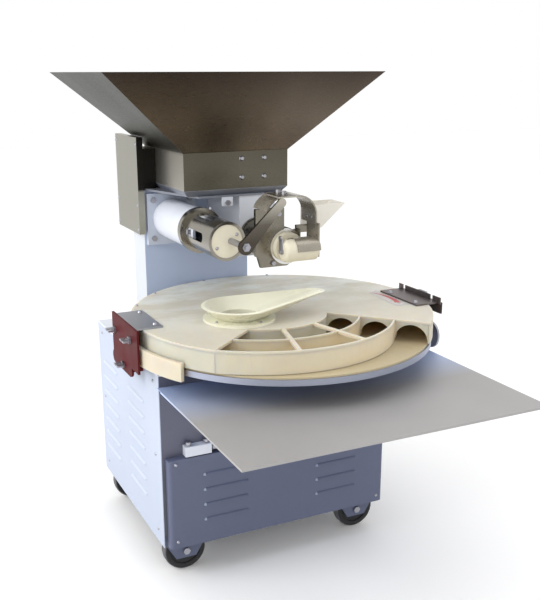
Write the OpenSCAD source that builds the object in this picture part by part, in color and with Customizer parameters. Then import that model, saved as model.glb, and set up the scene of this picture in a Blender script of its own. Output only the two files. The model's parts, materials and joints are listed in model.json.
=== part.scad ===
// Dough divider and rounder on casters.
// A hopper feeds a screw extruder, a rocking cutter portions the dough, and a turning disc
// rolls each portion round along the spiral guide of a fixed cover, out onto a front tray.
// Millimetres, +Z up, +X to the machine's right, -Y towards the operator.

/* [Cabinet] */
// Width of the cabinet
cabinet_w = 714; // [690:1:740]
// Depth of the cabinet
cabinet_d = 592; // [570:1:610]
// Height of the deck on top of the cabinet
deck_z = 614; // [605:1:625]
// Thickness of the deck
deck_t = 4; // [3:0.5:6]
// Height of the panels' lower edge above the floor
skirt_z = 100; // [92:1:108]
// Sheet thickness of the cabinet panels
panel_t = 2; // [1.5:0.5:3]
// Side of the square tube of the inner frame
tube = 30; // [25:1:36]
// How far the lower front panel stands proud
panel_proud = 25; // [18:1:32]
// Height of the lower front panel's upper edge
lower_panel_top = 372; // [350:1:380]
// Rows of louvres in a side panel
side_louvres = 7; // [4:1:7]
// Rows of louvres in the lower front panel
front_louvres = 4; // [2:1:4]

/* [Casters] */
// Diameter of a caster wheel
wheel_d = 125; // [118:1:130]
// Width of a caster wheel
wheel_w = 35; // [28:1:38]
// Diameter of a caster axle
axle_d = 12; // [10:1:14]
// Sheet thickness of a caster fork
fork_t = 4; // [3:0.5:5]
// Distance of the casters from the middle, sideways
caster_x = 284; // [270:1:290]
// Distance of the casters from the middle, lengthways
caster_y = 248; // [240:1:252]

/* [Turntable] */
// How far the disc's edge stands inside the cover's edge
disc_inset = 3; // [2:0.5:13]
// Thickness of the disc's rim
disc_t = 16; // [14:1:20]
// Thickness of the lining on the disc
lining_t = 5; // [4:0.5:7]
// Gap between the deck and the disc
disc_gap = 31; // [27:1:35]
// Disc centre, to the right of the cabinet's middle
disc_x = 53; // [50:1:56]
// Gap between the column and the cover's edge
disc_back = 4; // [3:1:7]
// Diameter of the disc's shaft
shaft_d = 40; // [35:1:45]

/* [Cover] */
// Outer radius of the cover
cover_r = 431; // [430:1:432]
// Height of the cover's walls under its plate
wall_h = 52; // [50:1:56]
// Thickness of the cover's walls
wall_t = 5; // [4:0.5:6]
// Thickness of the cover's plate
plate_t = 8; // [6:0.5:10]
// Running gap between the lining and the cover's walls
cover_gap = 2; // [1.5:0.5:3]
// Step from one turn of the guide to the next
channel = 98.5; // [97:0.5:100]
// Start of the cut-out, in degrees from the machine's right
cut_start = 221; // [218:1:224]
// End of the cut-out, in degrees from the machine's right
cut_end = 313; // [310:1:316]
// Width of the two bars across the cut-out
bar_w = 11; // [9:1:14]

/* [Funnel] */
// Funnel centre, to the left of the disc's centre
funnel_left = 156; // [154:1:159]
// Funnel centre, in front of the disc's centre
funnel_front = 51; // [49:1:54]
// Radius of the funnel's hole
funnel_hole_r = 56; // [53:1:58]
// Radius of the funnel's flange
funnel_flange_r = 100; // [96:1:104]
// Thickness of the funnel's flange
funnel_flange_t = 7; // [5:1:9]
// Radius of the funnel's rim
funnel_rim_r = 105; // [100:1:108]
// Height of the rim above the flange
funnel_rim_h = 33; // [30:1:38]
// Wall of the funnel
funnel_wall = 5; // [4:0.5:7]
// Length of the tongue from the funnel's centre
tongue_l = 213; // [205:1:220]
// Height of the tongue's tip above the flange
tongue_h = 60; // [55:1:64]
// Radius of the tongue's tip
tongue_tip_r = 32; // [28:1:36]

/* [Brackets] */
// Gap between the cover's edge and the left bracket plate
left_gap = 18; // [17.5:0.5:21]
// Thickness of the bracket plates
bracket_t = 6; // [5:0.5:7]
// Length of a bracket plate along the disc's edge
bracket_l = 230; // [215:1:235]
// Width of the plate on top of the cover
top_plate_w = 75; // [65:1:80]
// Height that the cover can be lifted
cover_lift = 12; // [8:1:14]
// Radius of a wing bolt's thread
wing_r = 5; // [4.5:0.5:5.5]

/* [Rim guard] */
// Gap between the disc and the guard
guard_gap = 7; // [5:1:8]
// Thickness of the guard
guard_t = 12; // [9:1:12]

/* [Tray] */
// Width of the tray
tray_w = 843; // [820:1:860]
// Length of the tray
tray_d = 549; // [530:1:570]
// Height of the tray's upper face
tray_z = 579; // [570:1:584]
// Sheet thickness of the tray
tray_t = 1.5; // [1.5:0.5:3]
// Depth of the tray's folded edge
tray_lip = 4; // [3:1:8]
// Left edge of the tray, beyond the cabinet's left side
tray_over = 4; // [0:1:10]
// Radius of a strut's rod
strut_r = 6; // [5:0.5:7]

/* [Column] */
// Width of the column
column_w = 353; // [345:1:360]
// Depth of the column
column_d = 112; // [108:1:118]
// Height of the column's top above the outlet axis
head_rise = 120; // [117:1:126]
// Distance of the column's left side from the cabinet's middle
column_left = 210; // [206:1:214]
// Sheet thickness of the column
column_t = 3; // [2:0.5:4]

/* [Hopper] */
// Width of the hopper's rim
rim_w = 841; // [820:1:850]
// Depth of the hopper's rim
rim_d = 590; // [575:1:600]
// Width of the hopper's neck
neck_w = 329; // [322:1:336]
// Depth of the hopper's neck
neck_d = 348; // [342:1:352]
// Height of the neck
neck_h = 106; // [102:1:112]
// Height of the hopper above its neck
slope_h = 221; // [205:1:235]
// Sheet thickness of the hopper
hopper_t = 2; // [1.5:0.5:3]
// Distance of the hopper's middle to the left of the cabinet's middle
hopper_left = 7; // [4:1:10]
// Distance of the hopper's middle behind the cabinet's middle
hopper_back = 140; // [137:1:143]
// Thickness of the plate under the hopper
seat_plate_t = 6; // [5:0.5:8]
// Height of the seat between that plate and the neck
seat_h = 18; // [15:1:22]

/* [Feed] */
// Radius of the feed screw
screw_r = 44; // [40:1:45]
// Pitch of the feed screw
screw_pitch = 60; // [50:1:70]
// Radius of the shafts of the feed
feed_shaft_r = 12; // [11:0.5:13]
// Radius of the feed roller
roller_r = 44; // [40:1:45]
// Distance of the roller in front of the hopper's rear wall
roller_in = 50; // [47:1:53]
// Radius of the lower sprocket
drive_sprocket_r = 28; // [26:1:30]
// Radius of the upper sprocket
roller_sprocket_r = 42; // [40:1:44]
// Thickness of the chain
chain_t = 5; // [4:0.5:6]

/* [Outlet] */
// Outlet axis, to the right of the cabinet's middle
outlet_x = 58; // [56:1:60]
// Height of the outlet axis above the cover
outlet_rise = 183; // [180:1:186]
// Bore radius of the outlet barrel
barrel_bore_r = 46; // [46:0.5:48]
// Wall of the outlet barrel
barrel_wall = 6; // [5:0.5:7]
// Length of the outlet barrel
barrel_l = 178; // [170:1:182]
// Thickness of the outlet's front flange
flange_t = 12; // [10:1:14]
// Bore radius of the nozzle
nozzle_bore_r = 26; // [24:1:28]
// Outer radius of the nozzle ring
nozzle_r = 36; // [34:1:38]
// How far the nozzle ring stands out of the flange
nozzle_out = 30; // [26:1:32]

/* [Cutter] */
// Cutter drive axis, to the left of the cabinet's middle
drive_left = 122; // [120:1:124]
// Height of the cutter drive axis above the outlet axis
drive_rise = 29; // [26:1:32]
// Radius of the painted drive housing
housing_r = 62; // [60:1:64]
// Length of the painted drive housing
housing_l = 243; // [238:1:248]
// Outer radius of the sleeve
sleeve_r = 54; // [53:0.5:56]
// Wall of the sleeve
sleeve_wall = 8; // [7:0.5:9]
// Length of the sleeve
sleeve_l = 211; // [205:1:214]
// Distance of the rocker shaft from the drive axis
rocker_offset = 12; // [10:1:14]
// Radius of the rocker shaft
rocker_r = 9; // [8:0.5:10]
// Thickness of the cutter lever
lever_t = 8; // [6:1:10]
// Radius of the cutter drum
drum_r = 31; // [28:1:32]
// Length of the cutter drum
drum_l = 98; // [94:1:104]
// Width of the yoke's strap
strap_w = 85; // [78:1:86]
// Thickness of the yoke's strap
strap_t = 4; // [3:0.5:5]

/* [Fits] */
// Radial running clearance of a shaft in its bearing
running = 0.05; // [0.02:0.01:0.1]
// Gap between pieces that move past each other
clear = 0.5; // [0.3:0.1:1]

/* [Hidden] */
$fn = 64;
eps = 0.01;

// Colours
slate = [0.42, 0.44, 0.52];
pale_blue = [0.78, 0.83, 0.93];
steel = [0.66, 0.65, 0.60];
zinc = [0.70, 0.70, 0.74];
cream = [0.90, 0.85, 0.74];
ivory = [0.95, 0.94, 0.86];
nylon = [0.90, 0.86, 0.72];
dark_red = [0.46, 0.14, 0.16];
black = [0.08, 0.08, 0.09];
iron = [0.35, 0.36, 0.38];

// Cabinet and frame
half_w = cabinet_w / 2;
half_d = cabinet_d / 2;
column_setback = 67;
column_front = half_d - column_setback;
frame_x = half_w - panel_t;
frame_y = half_d - panel_t;
deck_under = deck_z - deck_t;
fork_plate_t = fork_t;
wheel_clear = 6;
fork_half = 66;
fork_foot_half = 30;
fork_foot_drop = 22;
frame_bottom = wheel_d + wheel_clear + fork_plate_t;
post_x = frame_x - tube / 2;
post_y = frame_y - tube / 2;
lower_panel_w = cabinet_w - 22;
lower_panel_bottom = skirt_z + 4;
lower_panel_round = 12;
screw_r_head = 5;
screw_h = 3;

// Louvres
louvre_r = 9;
louvre_out = 5;
louvre_wall = 1.5;
louvre_pitch = 48;
side_louvre_top = deck_z - 124;
side_louvre_l = 150;
side_screw_in = 45;
side_louvre_back = 98;
side_louvre_front = -160;
front_louvre_top = lower_panel_top - 60;
front_louvre_l = 140;
front_louvre_step = 46;
front_louvre_left = -246;
front_louvre_right = 108;

// Turntable and drive
disc_r = cover_r - disc_inset;
disc_y = column_front - disc_back - cover_r;
disc_under = deck_z + disc_gap;
disc_top = disc_under + disc_t;
lining_top = disc_top + lining_t;
shaft_r = shaft_d / 2;
rim_width = 22;
web_t = 6;
hub_r = 75;
shaft_flange_t = disc_gap - 2;
bearing_h = 70;
bearing_flange_t = 10;
gearbox_w = 150;
gearbox_h = 110;
bed_z = 380;
bed_half = 50;
motor_r = 65;
motor_l = 200;
shaft_bottom = bed_z + gearbox_h / 2;

// Cover
wall_bottom = lining_top + cover_gap;
plate_under = wall_bottom + wall_h;
cover_top = plate_under + plate_t;
ramp_steps = 24;
bar_lean = 6;
bar_angles = [250, 279];
cut_span = cut_end - cut_start;
funnel_x = disc_x - funnel_left;
funnel_y = disc_y - funnel_front;
tongue_angle = -11;
arch_r = (channel - wall_t) / 2;
overlap = 1;
guide_sweep = 720 + cut_span;
guide_steps = 206;

// Brackets
right_gap = 4;
left_out = 39;
cover_left = disc_x - cover_r;
bracket_left_x = min(cover_left - left_gap, -half_w - left_out);
left_plate_x = cover_left - left_gap + top_plate_w;
plate_end = 25;
plate_screw_in = 14;
plate_screw_y = 66;
bracket_right_x = disc_x + cover_r + right_gap;
bracket_bottom = deck_z;
bracket_top_t = 5;
bracket_top = cover_top + bracket_top_t;
left_bracket_y = disc_y + 50;
right_bracket_y = disc_y - 64;
right_bracket_l = bracket_l - 18;
right_bracket_bottom = cover_top - 28;
right_flange_h = 15;
right_flange_t = 3;
right_plate_front = 14;
right_plate_back = 6;
notch_half = 6;
notch_front = -62;
notch_back = 79;
link_t = 6;
link_gap = 2;
link_z = bracket_bottom - 20;
link_half = 73;
link_r = 19;
link_slot_l = 16;
slot_over = 6;
tongue_over = 18;
link_y = disc_y + 112;
right_link_half = 51;
right_link_r = 40;
right_link_z = link_z + 28;
right_slot_y = right_bracket_y + 20;
right_foot_front = right_bracket_y + 40;
right_foot_back = right_bracket_y + 78;
right_bolt_z = cover_top - 12;
right_bolt_h = 5.5;
right_link_x = bracket_right_x + bracket_t + link_gap + link_t;
foot_r = 9;
tongue_y = disc_y + 140;
tongue_half = 20;
upper_bolt_z = bracket_bottom + 72;
front_bolt_y = disc_y - 2;
front_bolt_z = plate_under - 26;
lower_bolt_y = link_y - 15;
slot_r = wing_r + 0.4;
wing_span = 18;
wing_head = 10;
wing_t = 5;
wing_out = 24;

// Tray
tray_left = -half_w - tray_over;
tray_rear = -half_d - clear;
tray_front = tray_rear - tray_d;
ledge_d = 28;
ledge_h = 32;
ledge_t = 2;
block_w = 76;
block_h = 28;
block_d = 24;
block_x = 256;
block_z = lower_panel_top + 3;
pin_l = 30;
pin_y = -half_d - block_d / 2;
pin_z = block_z + block_h / 2;
pad_y = tray_rear - 340;
pad_t = 4;
pad_w = 40;
pad_l = 60;
lug_half = 4;
lug_front = 14;
lug_back = 26;
lug_h = 24;
eye_play = 8;
strut_x = block_x - block_w / 2 - pin_l / 2;

// Column and hopper
outlet_z = cover_top + outlet_rise;
column_top = outlet_z + head_rise;
drive_z = outlet_z + drive_rise;
column_rear = column_front + column_d;
column_right = column_w - column_left;
seat_top = column_top + seat_plate_t + seat_h;
neck_top = seat_top + neck_h;
hopper_top = neck_top + slope_h;
hopper_x = -hopper_left;
hopper_y = hopper_back;
neck_front = hopper_y - neck_d / 2;
neck_left = hopper_x - neck_w / 2;
neck_right = hopper_x + neck_w / 2;
seat_taper = 14;
chain_cover_t = 1.5;
chain_cover_w = 20;
chain_cover_x = -column_left - chain_cover_w;
chain_cover_bottom = column_top - 135;
chain_cover_h = 296;
chain_x = -column_left - chain_cover_w / 2;
chain_w = 9;
sprocket_w = 6;

// Feed
outlet_y = hopper_y - neck_d / 2 + 9;
extruder_half = 54;
extruder_out = 62;
extruder_drop = 61;
extruder_left = outlet_x - extruder_half;
extruder_right = outlet_x + extruder_out;
extruder_bottom = outlet_z - extruder_drop;
seat_lip = 3;
seat_corner = 184;
seat_lug_left = outlet_x - 110;
seat_lug_right = outlet_x - 76;
seat_lug_h = 26;
seat_lug_t = 8;
seat_bolt_x = outlet_x - 93;
seat_bolt_drop = 16;
extruder_end = 13;
throat_half = 46;
throat_front = outlet_y + 25;
throat_rear = throat_front + 150;
roller_y = hopper_y + neck_d / 2 - roller_in;
roller_z = seat_top + neck_h / 2;
roller_core_r = 26;
chain_cover_front = roller_y - roller_sprocket_r - chain_t - 4;
chain_cover_l = 220;
shaft_cover_bottom = column_top + seat_plate_t + clear;
shaft_cover_top = neck_top - 3;
shaft_cover_right = neck_left - clear;
shaft_cover_rear = chain_cover_front + 100;
paddle_t = 6;
paddles = 5;
drive_shaft_y = column_front + 64;
drive_shaft_z = column_top - 81;
feed_gearbox_left = outlet_x - 118;
feed_gearbox_right = outlet_x + 47;
feed_gearbox_d = 96;
feed_gearbox_bottom = outlet_z - 41;
feed_gearbox_top = column_top - 21;
screw_shaft_end = column_front + 40;
screw_front = outlet_y - barrel_l + 14;
screw_rear = column_front - extruder_end - 2;
flight_t = 7;
screw_slices = 14;

// Outlet
barrel_front = outlet_y - barrel_l;
flange_front = barrel_front - flange_t;
collar_t = 12;
collar_r = 50;
nozzle_front = flange_front - nozzle_out;
nozzle_lip_r = 42;
outlet_low = outlet_z - 57;
outlet_high = outlet_z + 108;
outlet_step = outlet_z + 44;
outlet_left_edge = outlet_x - 90;
outlet_right_edge = outlet_x + 50;
outlet_step_x = outlet_x - 2;
outlet_foot_left = outlet_x - 74;
outlet_foot_right = outlet_x + 8;
outlet_side_low = outlet_z - 24;
outlet_side_cut = 6;
outlet_right_low = outlet_z - 29;
rear_flange_r = 54;
rear_flange_t = 10;

// Cutter
drive_x = -drive_left;
drive_flange = 160;
drive_ear = 20;
drive_flange_t = 12;
housing_front = column_front - housing_l;
housing_bore_r = 38;
spigot_l = 70;
spigot_clear = 0.1;
sleeve_bore_r = sleeve_r - sleeve_wall;
sleeve_front = housing_front - sleeve_l;
sleeve_collar_r = sleeve_r + 12;
sleeve_collar_l = 22;
cap_recess = 2;
cap_t = 24;
cap_front = sleeve_front + cap_recess;
rocker_x = drive_x + rocker_offset;
rocker_end = column_front + 30;
lever_rear = sleeve_front - 91;
lever_front = lever_rear - lever_t;
lever_eye_r = 21;
lever_top_r = 12;
lever_run = 105;
lever_rise = 110;
lever_top_x = rocker_x + lever_run;
lever_flange_t = 4;
lever_flange_w = 54;
strap_under = drive_z + lever_rise + 8;
strap_top = strap_under + strap_t;
strap_front = flange_front - 75;
strap_rear = strap_front + strap_w;
strap_bend = 57;
strap_right = outlet_x + 61;
strap_bend_x = strap_right - strap_bend;
strap_left_x = outlet_x - 39;
strap_bend_z = strap_top - strap_bend;
strap_left_angle = 160;
bend_steps = 14;
drum_gap = 6;
drum_y = nozzle_front - drum_gap - drum_r;
drum_z = outlet_z;
drum_right = strap_right - strap_t - clear;
drum_left = drum_right - drum_l;
drum_round = 12;
drum_pin_r = 8;
leg_bottom = drum_z + 70;
tab_top = leg_bottom + 3;
tab_bottom = drum_z - 20;
tab_front = drum_y - 25;
tab_rear = drum_y + 44;
drum_link_t = 4;
drum_link_r = 9;
drum_link_rise = 34;
rivet_rise = 15;
shell_gap = 1.5;
shell_t = 2;
shell_r = drum_r + shell_gap + shell_t;
shell_left = drum_left + 32;

// Rim guard: angles on the disc
guard_start = 152;
guard_span = 57;
guard_drop = 12;
guard_high = 14;
guard_pad_front = 26;
guard_pad_back = 18;
guard_pad_in = 4;

// Flour box
box_left = strap_right + 17;
box_top_w = 101;
box_base_w = 25;
box_tab_t = 8;
box_tab_l = 6;
box_tab_drop = 16;
box_bottom = outlet_z + 48;
box_h = 65;
box_d = 80;
box_rear = barrel_front + 43;
box_t = 1.5;

// Whole object: the origin is under the middle of its box
reach_right = right_link_x + clear + right_bolt_h;
reach_left = hopper_x - rim_w / 2;
reach_front = tray_front;
reach_rear = hopper_y + rim_d / 2;
origin_x = (reach_left + reach_right) / 2;
origin_y = (reach_front + reach_rear) / 2;

// Helpers

// Moves the machine so that the origin is under the middle of its box
module placed() {
    translate([-origin_x, -origin_y, 0]) children();
}

// Box between two corners
module block(low, high) {
    translate(low) cube(high - low);
}

// Round bar along X between two places
module bar_x(r, x0, x1, y, z) {
    translate([x0, y, z]) rotate([0, 90, 0]) cylinder(r = r, h = x1 - x0);
}

// Round bar along Y between two places
module bar_y(r, x, y0, y1, z) {
    translate([x, y1, z]) rotate([90, 0, 0]) cylinder(r = r, h = y1 - y0);
}

// Hexagon head whose foot is at the origin and whose axis is +Z
module hex_head(r, h) {
    cylinder(r = r, h = h, $fn = 6);
}

// Domed head whose foot is at the origin and whose axis is +Z
module dome_head(r, h) {
    cylinder(r1 = r, r2 = r * 0.6, h = h);
}

// Capsule along X with its middle at the origin
module capsule(r, l) {
    translate([-l / 2, 0, 0]) rotate([0, 90, 0]) cylinder(r = r, h = l);
    for (side = [-1, 1]) translate([side * l / 2, 0, 0]) sphere(r = r);
}

// Pressed hood whose sheet lies at y = 0 to panel_t and that stands out towards -Y
module louvre_hood(l) {
    difference() {
        translate([0, louvre_r - louvre_out, 0]) capsule(louvre_r, l - 2 * louvre_r);
        translate([-l, panel_t, -l]) cube(2 * l);
        translate([-l, -l, -l]) cube([2 * l, l, l]);
    }
}

// Space under a pressed hood
module louvre_hollow(l) {
    difference() {
        translate([0, louvre_r - louvre_out, 0])
            capsule(louvre_r - louvre_wall, l - 2 * louvre_r);
        translate([-l, -l, -l]) cube([2 * l, 2 * l, l]);
    }
}

// Sheet with its outer face on y = 0, and louvres at the given places
module louvred_sheet(low_x, high_x, low_z, high_z, places, l) {
    difference() {
        union() {
            block([low_x, 0, low_z], [high_x, panel_t, high_z]);
            for (p = places) translate([p.x, 0, p.y]) louvre_hood(l);
        }
        for (p = places) translate([p.x, 0, p.y]) louvre_hollow(l);
    }
}

// Radius of the guide's outer face on a turn, at a share of the cut-out from its start
function ramp_r(turn, share) = cover_r - channel * (turn + share);

// Outline of the guide across the cut-out on one turn
function ramp_edge(turn, inset) = [
    for (i = [0:ramp_steps])
        let (a = cut_start + cut_span * i / ramp_steps)
        (ramp_r(turn, i / ramp_steps) - inset) * [cos(a), sin(a)]
];

// Reverses a list of points
function reversed(points) = [for (i = [len(points) - 1:-1:0]) points[i]];

// Strip of the guide across the cut-out on one turn
module ramp_strip(turn) {
    polygon(concat(ramp_edge(turn, 0), reversed(ramp_edge(turn, wall_t))));
}

// Radius of the guide's outer face after a sweep from the start of the cut-out
function guide_r(sweep) =
    let (turn = floor(sweep / 360))
    ramp_r(turn, min((sweep - 360 * turn) / cut_span, 1));

// Edge of the whole guide, which runs inwards on each pass of the cut-out and round elsewhere
function guide_edge(inset) = [
    for (i = [0:guide_steps])
        let (sweep = guide_sweep * i / guide_steps, a = cut_start + sweep)
        (guide_r(sweep) - inset) * [cos(a), sin(a)]
];

// Stretch of ring between two radii, from one angle over a span
module ring_arc(inner, outer, z0, z1, start, span) {
    rotate([0, 0, start])
        rotate_extrude(angle = span, $fn = 128)
            translate([inner, z0]) square([outer - inner, z1 - z0]);
}

// Moves to the disc's axis
module at_disc() {
    translate([disc_x, disc_y, 0]) children();
}

// Cabinet

module base_frame() {
    color(iron) placed() {
        for (sx = [-1, 1]) for (sy = [-1, 1])
            translate([sx * post_x - tube / 2, sy * post_y - tube / 2, frame_bottom])
                cube([tube, tube, deck_under - frame_bottom]);
        for (z = [frame_bottom, deck_under - tube]) {
            for (sy = [-1, 1])
                block([-post_x, sy * post_y - tube / 2, z], [post_x, sy * post_y + tube / 2, z + tube]);
            for (sx = [-1, 1])
                block([sx * post_x - tube / 2, -post_y, z], [sx * post_x + tube / 2, post_y, z + tube]);
        }
        for (sx = [-1, 1])
            block([sx * post_x - tube / 2, -post_y, bed_z - tube], [sx * post_x + tube / 2, post_y, bed_z]);
        for (sy = [-1, 1])
            block([-post_x, disc_y + sy * bed_half - tube / 2, bed_z - tube],
                  [post_x, disc_y + sy * bed_half + tube / 2, bed_z]);
    }
}

// Places of a side panel's louvres, seen from outside
function side_places(towards_front) = [
    for (i = [0:side_louvres - 1]) for (y = [side_louvre_back, side_louvre_front])
        [towards_front * (y + side_louvre_l / 2), side_louvre_top - i * louvre_pitch]
];

module side_sheet(towards_front) {
    louvred_sheet(-half_d, half_d, skirt_z, deck_under, side_places(towards_front), side_louvre_l);
}

module left_panel() {
    color(pale_blue) placed()
        translate([-half_w, 0, 0]) rotate([0, 0, -90]) side_sheet(-1);
}

module right_panel() {
    color(slate) placed()
        translate([half_w, 0, 0]) rotate([0, 0, 90]) side_sheet(1);
}

module rear_panel() {
    color(slate) placed()
        block([-frame_x, frame_y, skirt_z], [frame_x, half_d, deck_under]);
}

module front_upper_panel() {
    color(slate) placed()
        block([-frame_x, -half_d, lower_panel_top - tube], [frame_x, -frame_y, deck_under]);
}

front_places = [
    for (i = [0:front_louvres - 1]) for (x = [front_louvre_left, front_louvre_right])
        [x + front_louvre_l / 2, front_louvre_top - i * front_louvre_step]
];

// Folded front panel: a sheet with round upright edges that reach back to the frame
module front_lower_panel() {
    half = lower_panel_w / 2;
    face_half = half - lower_panel_round;
    front = -half_d - panel_proud;
    round_in = lower_panel_round - panel_t;
    color(slate) placed() {
        translate([0, front, 0])
            louvred_sheet(-face_half, face_half, lower_panel_bottom, lower_panel_top,
                          front_places, front_louvre_l);
        for (side = [-1, 1]) {
            translate([side * face_half, front + lower_panel_round, lower_panel_bottom])
                intersection() {
                    difference() {
                        cylinder(r = lower_panel_round, h = lower_panel_top - lower_panel_bottom);
                        translate([0, 0, -eps])
                            cylinder(r = round_in, h = lower_panel_top - lower_panel_bottom + 2 * eps);
                    }
                    translate([side > 0 ? 0 : -lower_panel_round, -lower_panel_round, 0])
                        cube([lower_panel_round, lower_panel_round, lower_panel_top]);
                }
            block([side > 0 ? half - panel_t : -half, front + lower_panel_round, lower_panel_bottom],
                  [side > 0 ? half : -half + panel_t, -half_d, lower_panel_top]);
        }
        block([-half, front + panel_t, lower_panel_top - panel_t], [half, -half_d, lower_panel_top]);
    }
}

module top_deck() {
    color(slate) placed()
        difference() {
            block([-half_w, -half_d, deck_under], [half_w, half_d, deck_z]);
            at_disc() translate([0, 0, deck_under - 1]) cylinder(r = shaft_r + 4, h = deck_t + 2);
        }
}

// Places of the screws in a side panel: distance along the panel and height
side_screws = [
    for (y = [-half_d + side_screw_in, half_d - side_screw_in])
        for (z = [skirt_z + 40, side_louvre_top - 2.5 * louvre_pitch, deck_under - 25]) [y, z]
];

module side_screw_row(side) {
    for (p = side_screws)
        translate([side * half_w, p.x, p.y]) rotate([0, side * 90, 0]) dome_head(screw_r_head, screw_h);
}

module front_screw(x, y, z) {
    translate([x, y, z]) rotate([90, 0, 0]) dome_head(screw_r_head, screw_h);
}

module chain_cover_screws() {
    left = chain_cover_x;
    for (y = [chain_cover_front + 8, chain_cover_front + chain_cover_l - 8])
        for (z = [chain_cover_bottom + 14, chain_cover_bottom + 90, chain_cover_bottom + chain_cover_h - 20])
            translate([left, y, z]) rotate([0, -90, 0]) dome_head(screw_r_head, screw_h);
}

// Hand screw on a strut block: a stem with a wide knurled head
module hand_screw(x) {
    translate([x, pin_y, block_z + block_h]) {
        cylinder(r = 3, h = 8);
        translate([0, 0, 4]) cylinder(r = 8, h = 8);
    }
}

module panel_screws() {
    lower_x = lower_panel_w / 2 - 22;
    color(zinc) placed() {
        for (side = [-1, 1]) side_screw_row(side);
        for (x = [-lower_x, lower_x]) for (z = [lower_panel_bottom + 20, lower_panel_top - 14])
            front_screw(x, -half_d - panel_proud, z);
        chain_cover_screws();
        for (side = [-1, 1]) for (step = [-1, 1])
            hand_screw(side * block_x + step * (block_w / 2 - 12));
    }
}

// Casters

// Cheek of a fork, standing in the XZ plane from y = 0 to fork_t
module fork_cheek() {
    drop = frame_bottom - fork_plate_t - wheel_d / 2;
    waist = skirt_z - wheel_d / 2;
    translate([0, fork_t, wheel_d / 2]) rotate([90, 0, 0])
        linear_extrude(fork_t) difference() {
            polygon([
                [-fork_half, drop], [-fork_half, waist], [-fork_foot_half, -fork_foot_drop],
                [fork_foot_half, -fork_foot_drop], [fork_half, waist], [fork_half, drop]
            ]);
            circle(r = axle_d / 2 + running);
        }
}

module caster_forks() {
    gap = wheel_w / 2 + 3;
    color(slate) placed()
        for (sx = [-1, 1]) for (sy = [-1, 1])
            translate([sx * caster_x, sy * caster_y, 0]) {
                translate([-fork_half, -gap - fork_t, frame_bottom - fork_plate_t])
                    cube([2 * fork_half, 2 * (gap + fork_t), fork_plate_t]);
                translate([0, gap, 0]) fork_cheek();
                translate([0, -gap - fork_t, 0]) fork_cheek();
            }
}

module caster_axles() {
    reach = wheel_w / 2 + 3 + fork_t;
    color(zinc) placed()
        for (sx = [-1, 1]) for (sy = [-1, 1])
            translate([sx * caster_x, sy * caster_y, wheel_d / 2]) {
                bar_y(axle_d / 2, 0, -reach, reach, 0);
                translate([0, -reach, 0]) rotate([90, 0, 0]) hex_head(axle_d * 0.9, 7);
                translate([0, reach, 0]) rotate([-90, 0, 0]) hex_head(axle_d * 0.9, 8);
            }
}

// Wheel with a grooved face, a boss and a bore for its axle
module caster_wheel(sx, sy) {
    r = wheel_d / 2;
    rim = r - 16;
    boss = axle_d / 2 + 8;
    color(black) placed()
        translate([sx * caster_x, sy * caster_y + wheel_w / 2, r]) rotate([90, 0, 0])
            rotate_extrude($fn = 96) polygon([
                [axle_d / 2 + running, 0], [boss, 0], [boss, 6], [rim, 6], [rim, 2], [r - 5, 0],
                [r - 1, 4], [r, 9], [r, wheel_w - 9], [r - 1, wheel_w - 4], [r - 5, wheel_w],
                [rim, wheel_w - 2], [rim, wheel_w - 6], [boss, wheel_w - 6], [boss, wheel_w],
                [axle_d / 2 + running, wheel_w]
            ]);
}

module caster_wheel_fl() { caster_wheel(-1, -1); }
module caster_wheel_fr() { caster_wheel(1, -1); }
module caster_wheel_rl() { caster_wheel(-1, 1); }
module caster_wheel_rr() { caster_wheel(1, 1); }

module cable_gland() {
    color(black) placed()
        translate([half_w - 110, half_d, skirt_z + 80]) rotate([-90, 0, 0])
            difference() {
                union() {
                    cylinder(r = 16, h = 5);
                    hex_head(14, 14);
                    cylinder(r = 10, h = 24);
                }
                translate([0, 0, 6]) cylinder(r = 5, h = 20);
            }
}

// Column, hopper and feed

module column() {
    color(slate) placed()
        difference() {
            block([-column_left, column_front, deck_z], [column_right, column_rear, column_top]);
            block([-column_left + column_t, column_front + column_t, deck_z - 1],
                  [column_right - column_t, column_rear - column_t, column_top - column_t]);
            bar_y(feed_shaft_r + 2, outlet_x, column_front - 1, column_front + column_t + 1, outlet_z);
            bar_y(rocker_r + running, rocker_x, column_front - 1, column_front + column_t + 1, drive_z);
            bar_x(feed_shaft_r + running, -column_left - 1, -column_left + column_t + 1,
                  drive_shaft_y, drive_shaft_z);
        }
}

module chain_cover() {
    low = [chain_cover_x, chain_cover_front, chain_cover_bottom];
    high = [-column_left, chain_cover_front + chain_cover_l, chain_cover_bottom + chain_cover_h];
    wall = [chain_cover_t, chain_cover_t, chain_cover_t];
    color(steel) placed()
        difference() {
            union() {
                block(low, high);
                block([-column_left - eps, low.y, shaft_cover_bottom],
                      [shaft_cover_right, shaft_cover_rear, shaft_cover_top]);
            }
            block(low + wall, high - wall);
            block([-column_left, low.y + chain_cover_t, shaft_cover_bottom - 1],
                  [shaft_cover_right + 1, shaft_cover_rear - chain_cover_t,
                   shaft_cover_top - chain_cover_t]);
            for (p = [[drive_shaft_y, drive_shaft_z], [roller_y, roller_z]])
                bar_x(feed_shaft_r + 2, -column_left - 5, -column_left + 5, p.x, p.y);
        }
}

module extruder_housing() {
    color(pale_blue) placed()
        difference() {
            block([extruder_left, outlet_y, extruder_bottom], [extruder_right, column_front, column_top]);
            bar_y(barrel_bore_r, outlet_x, outlet_y - 1, column_front - extruder_end, outlet_z);
            bar_y(feed_shaft_r + running, outlet_x, outlet_y, column_front + 1, outlet_z);
            block([outlet_x - throat_half, throat_front, outlet_z],
                  [outlet_x + throat_half, throat_rear, column_top + 1]);
        }
}

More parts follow.
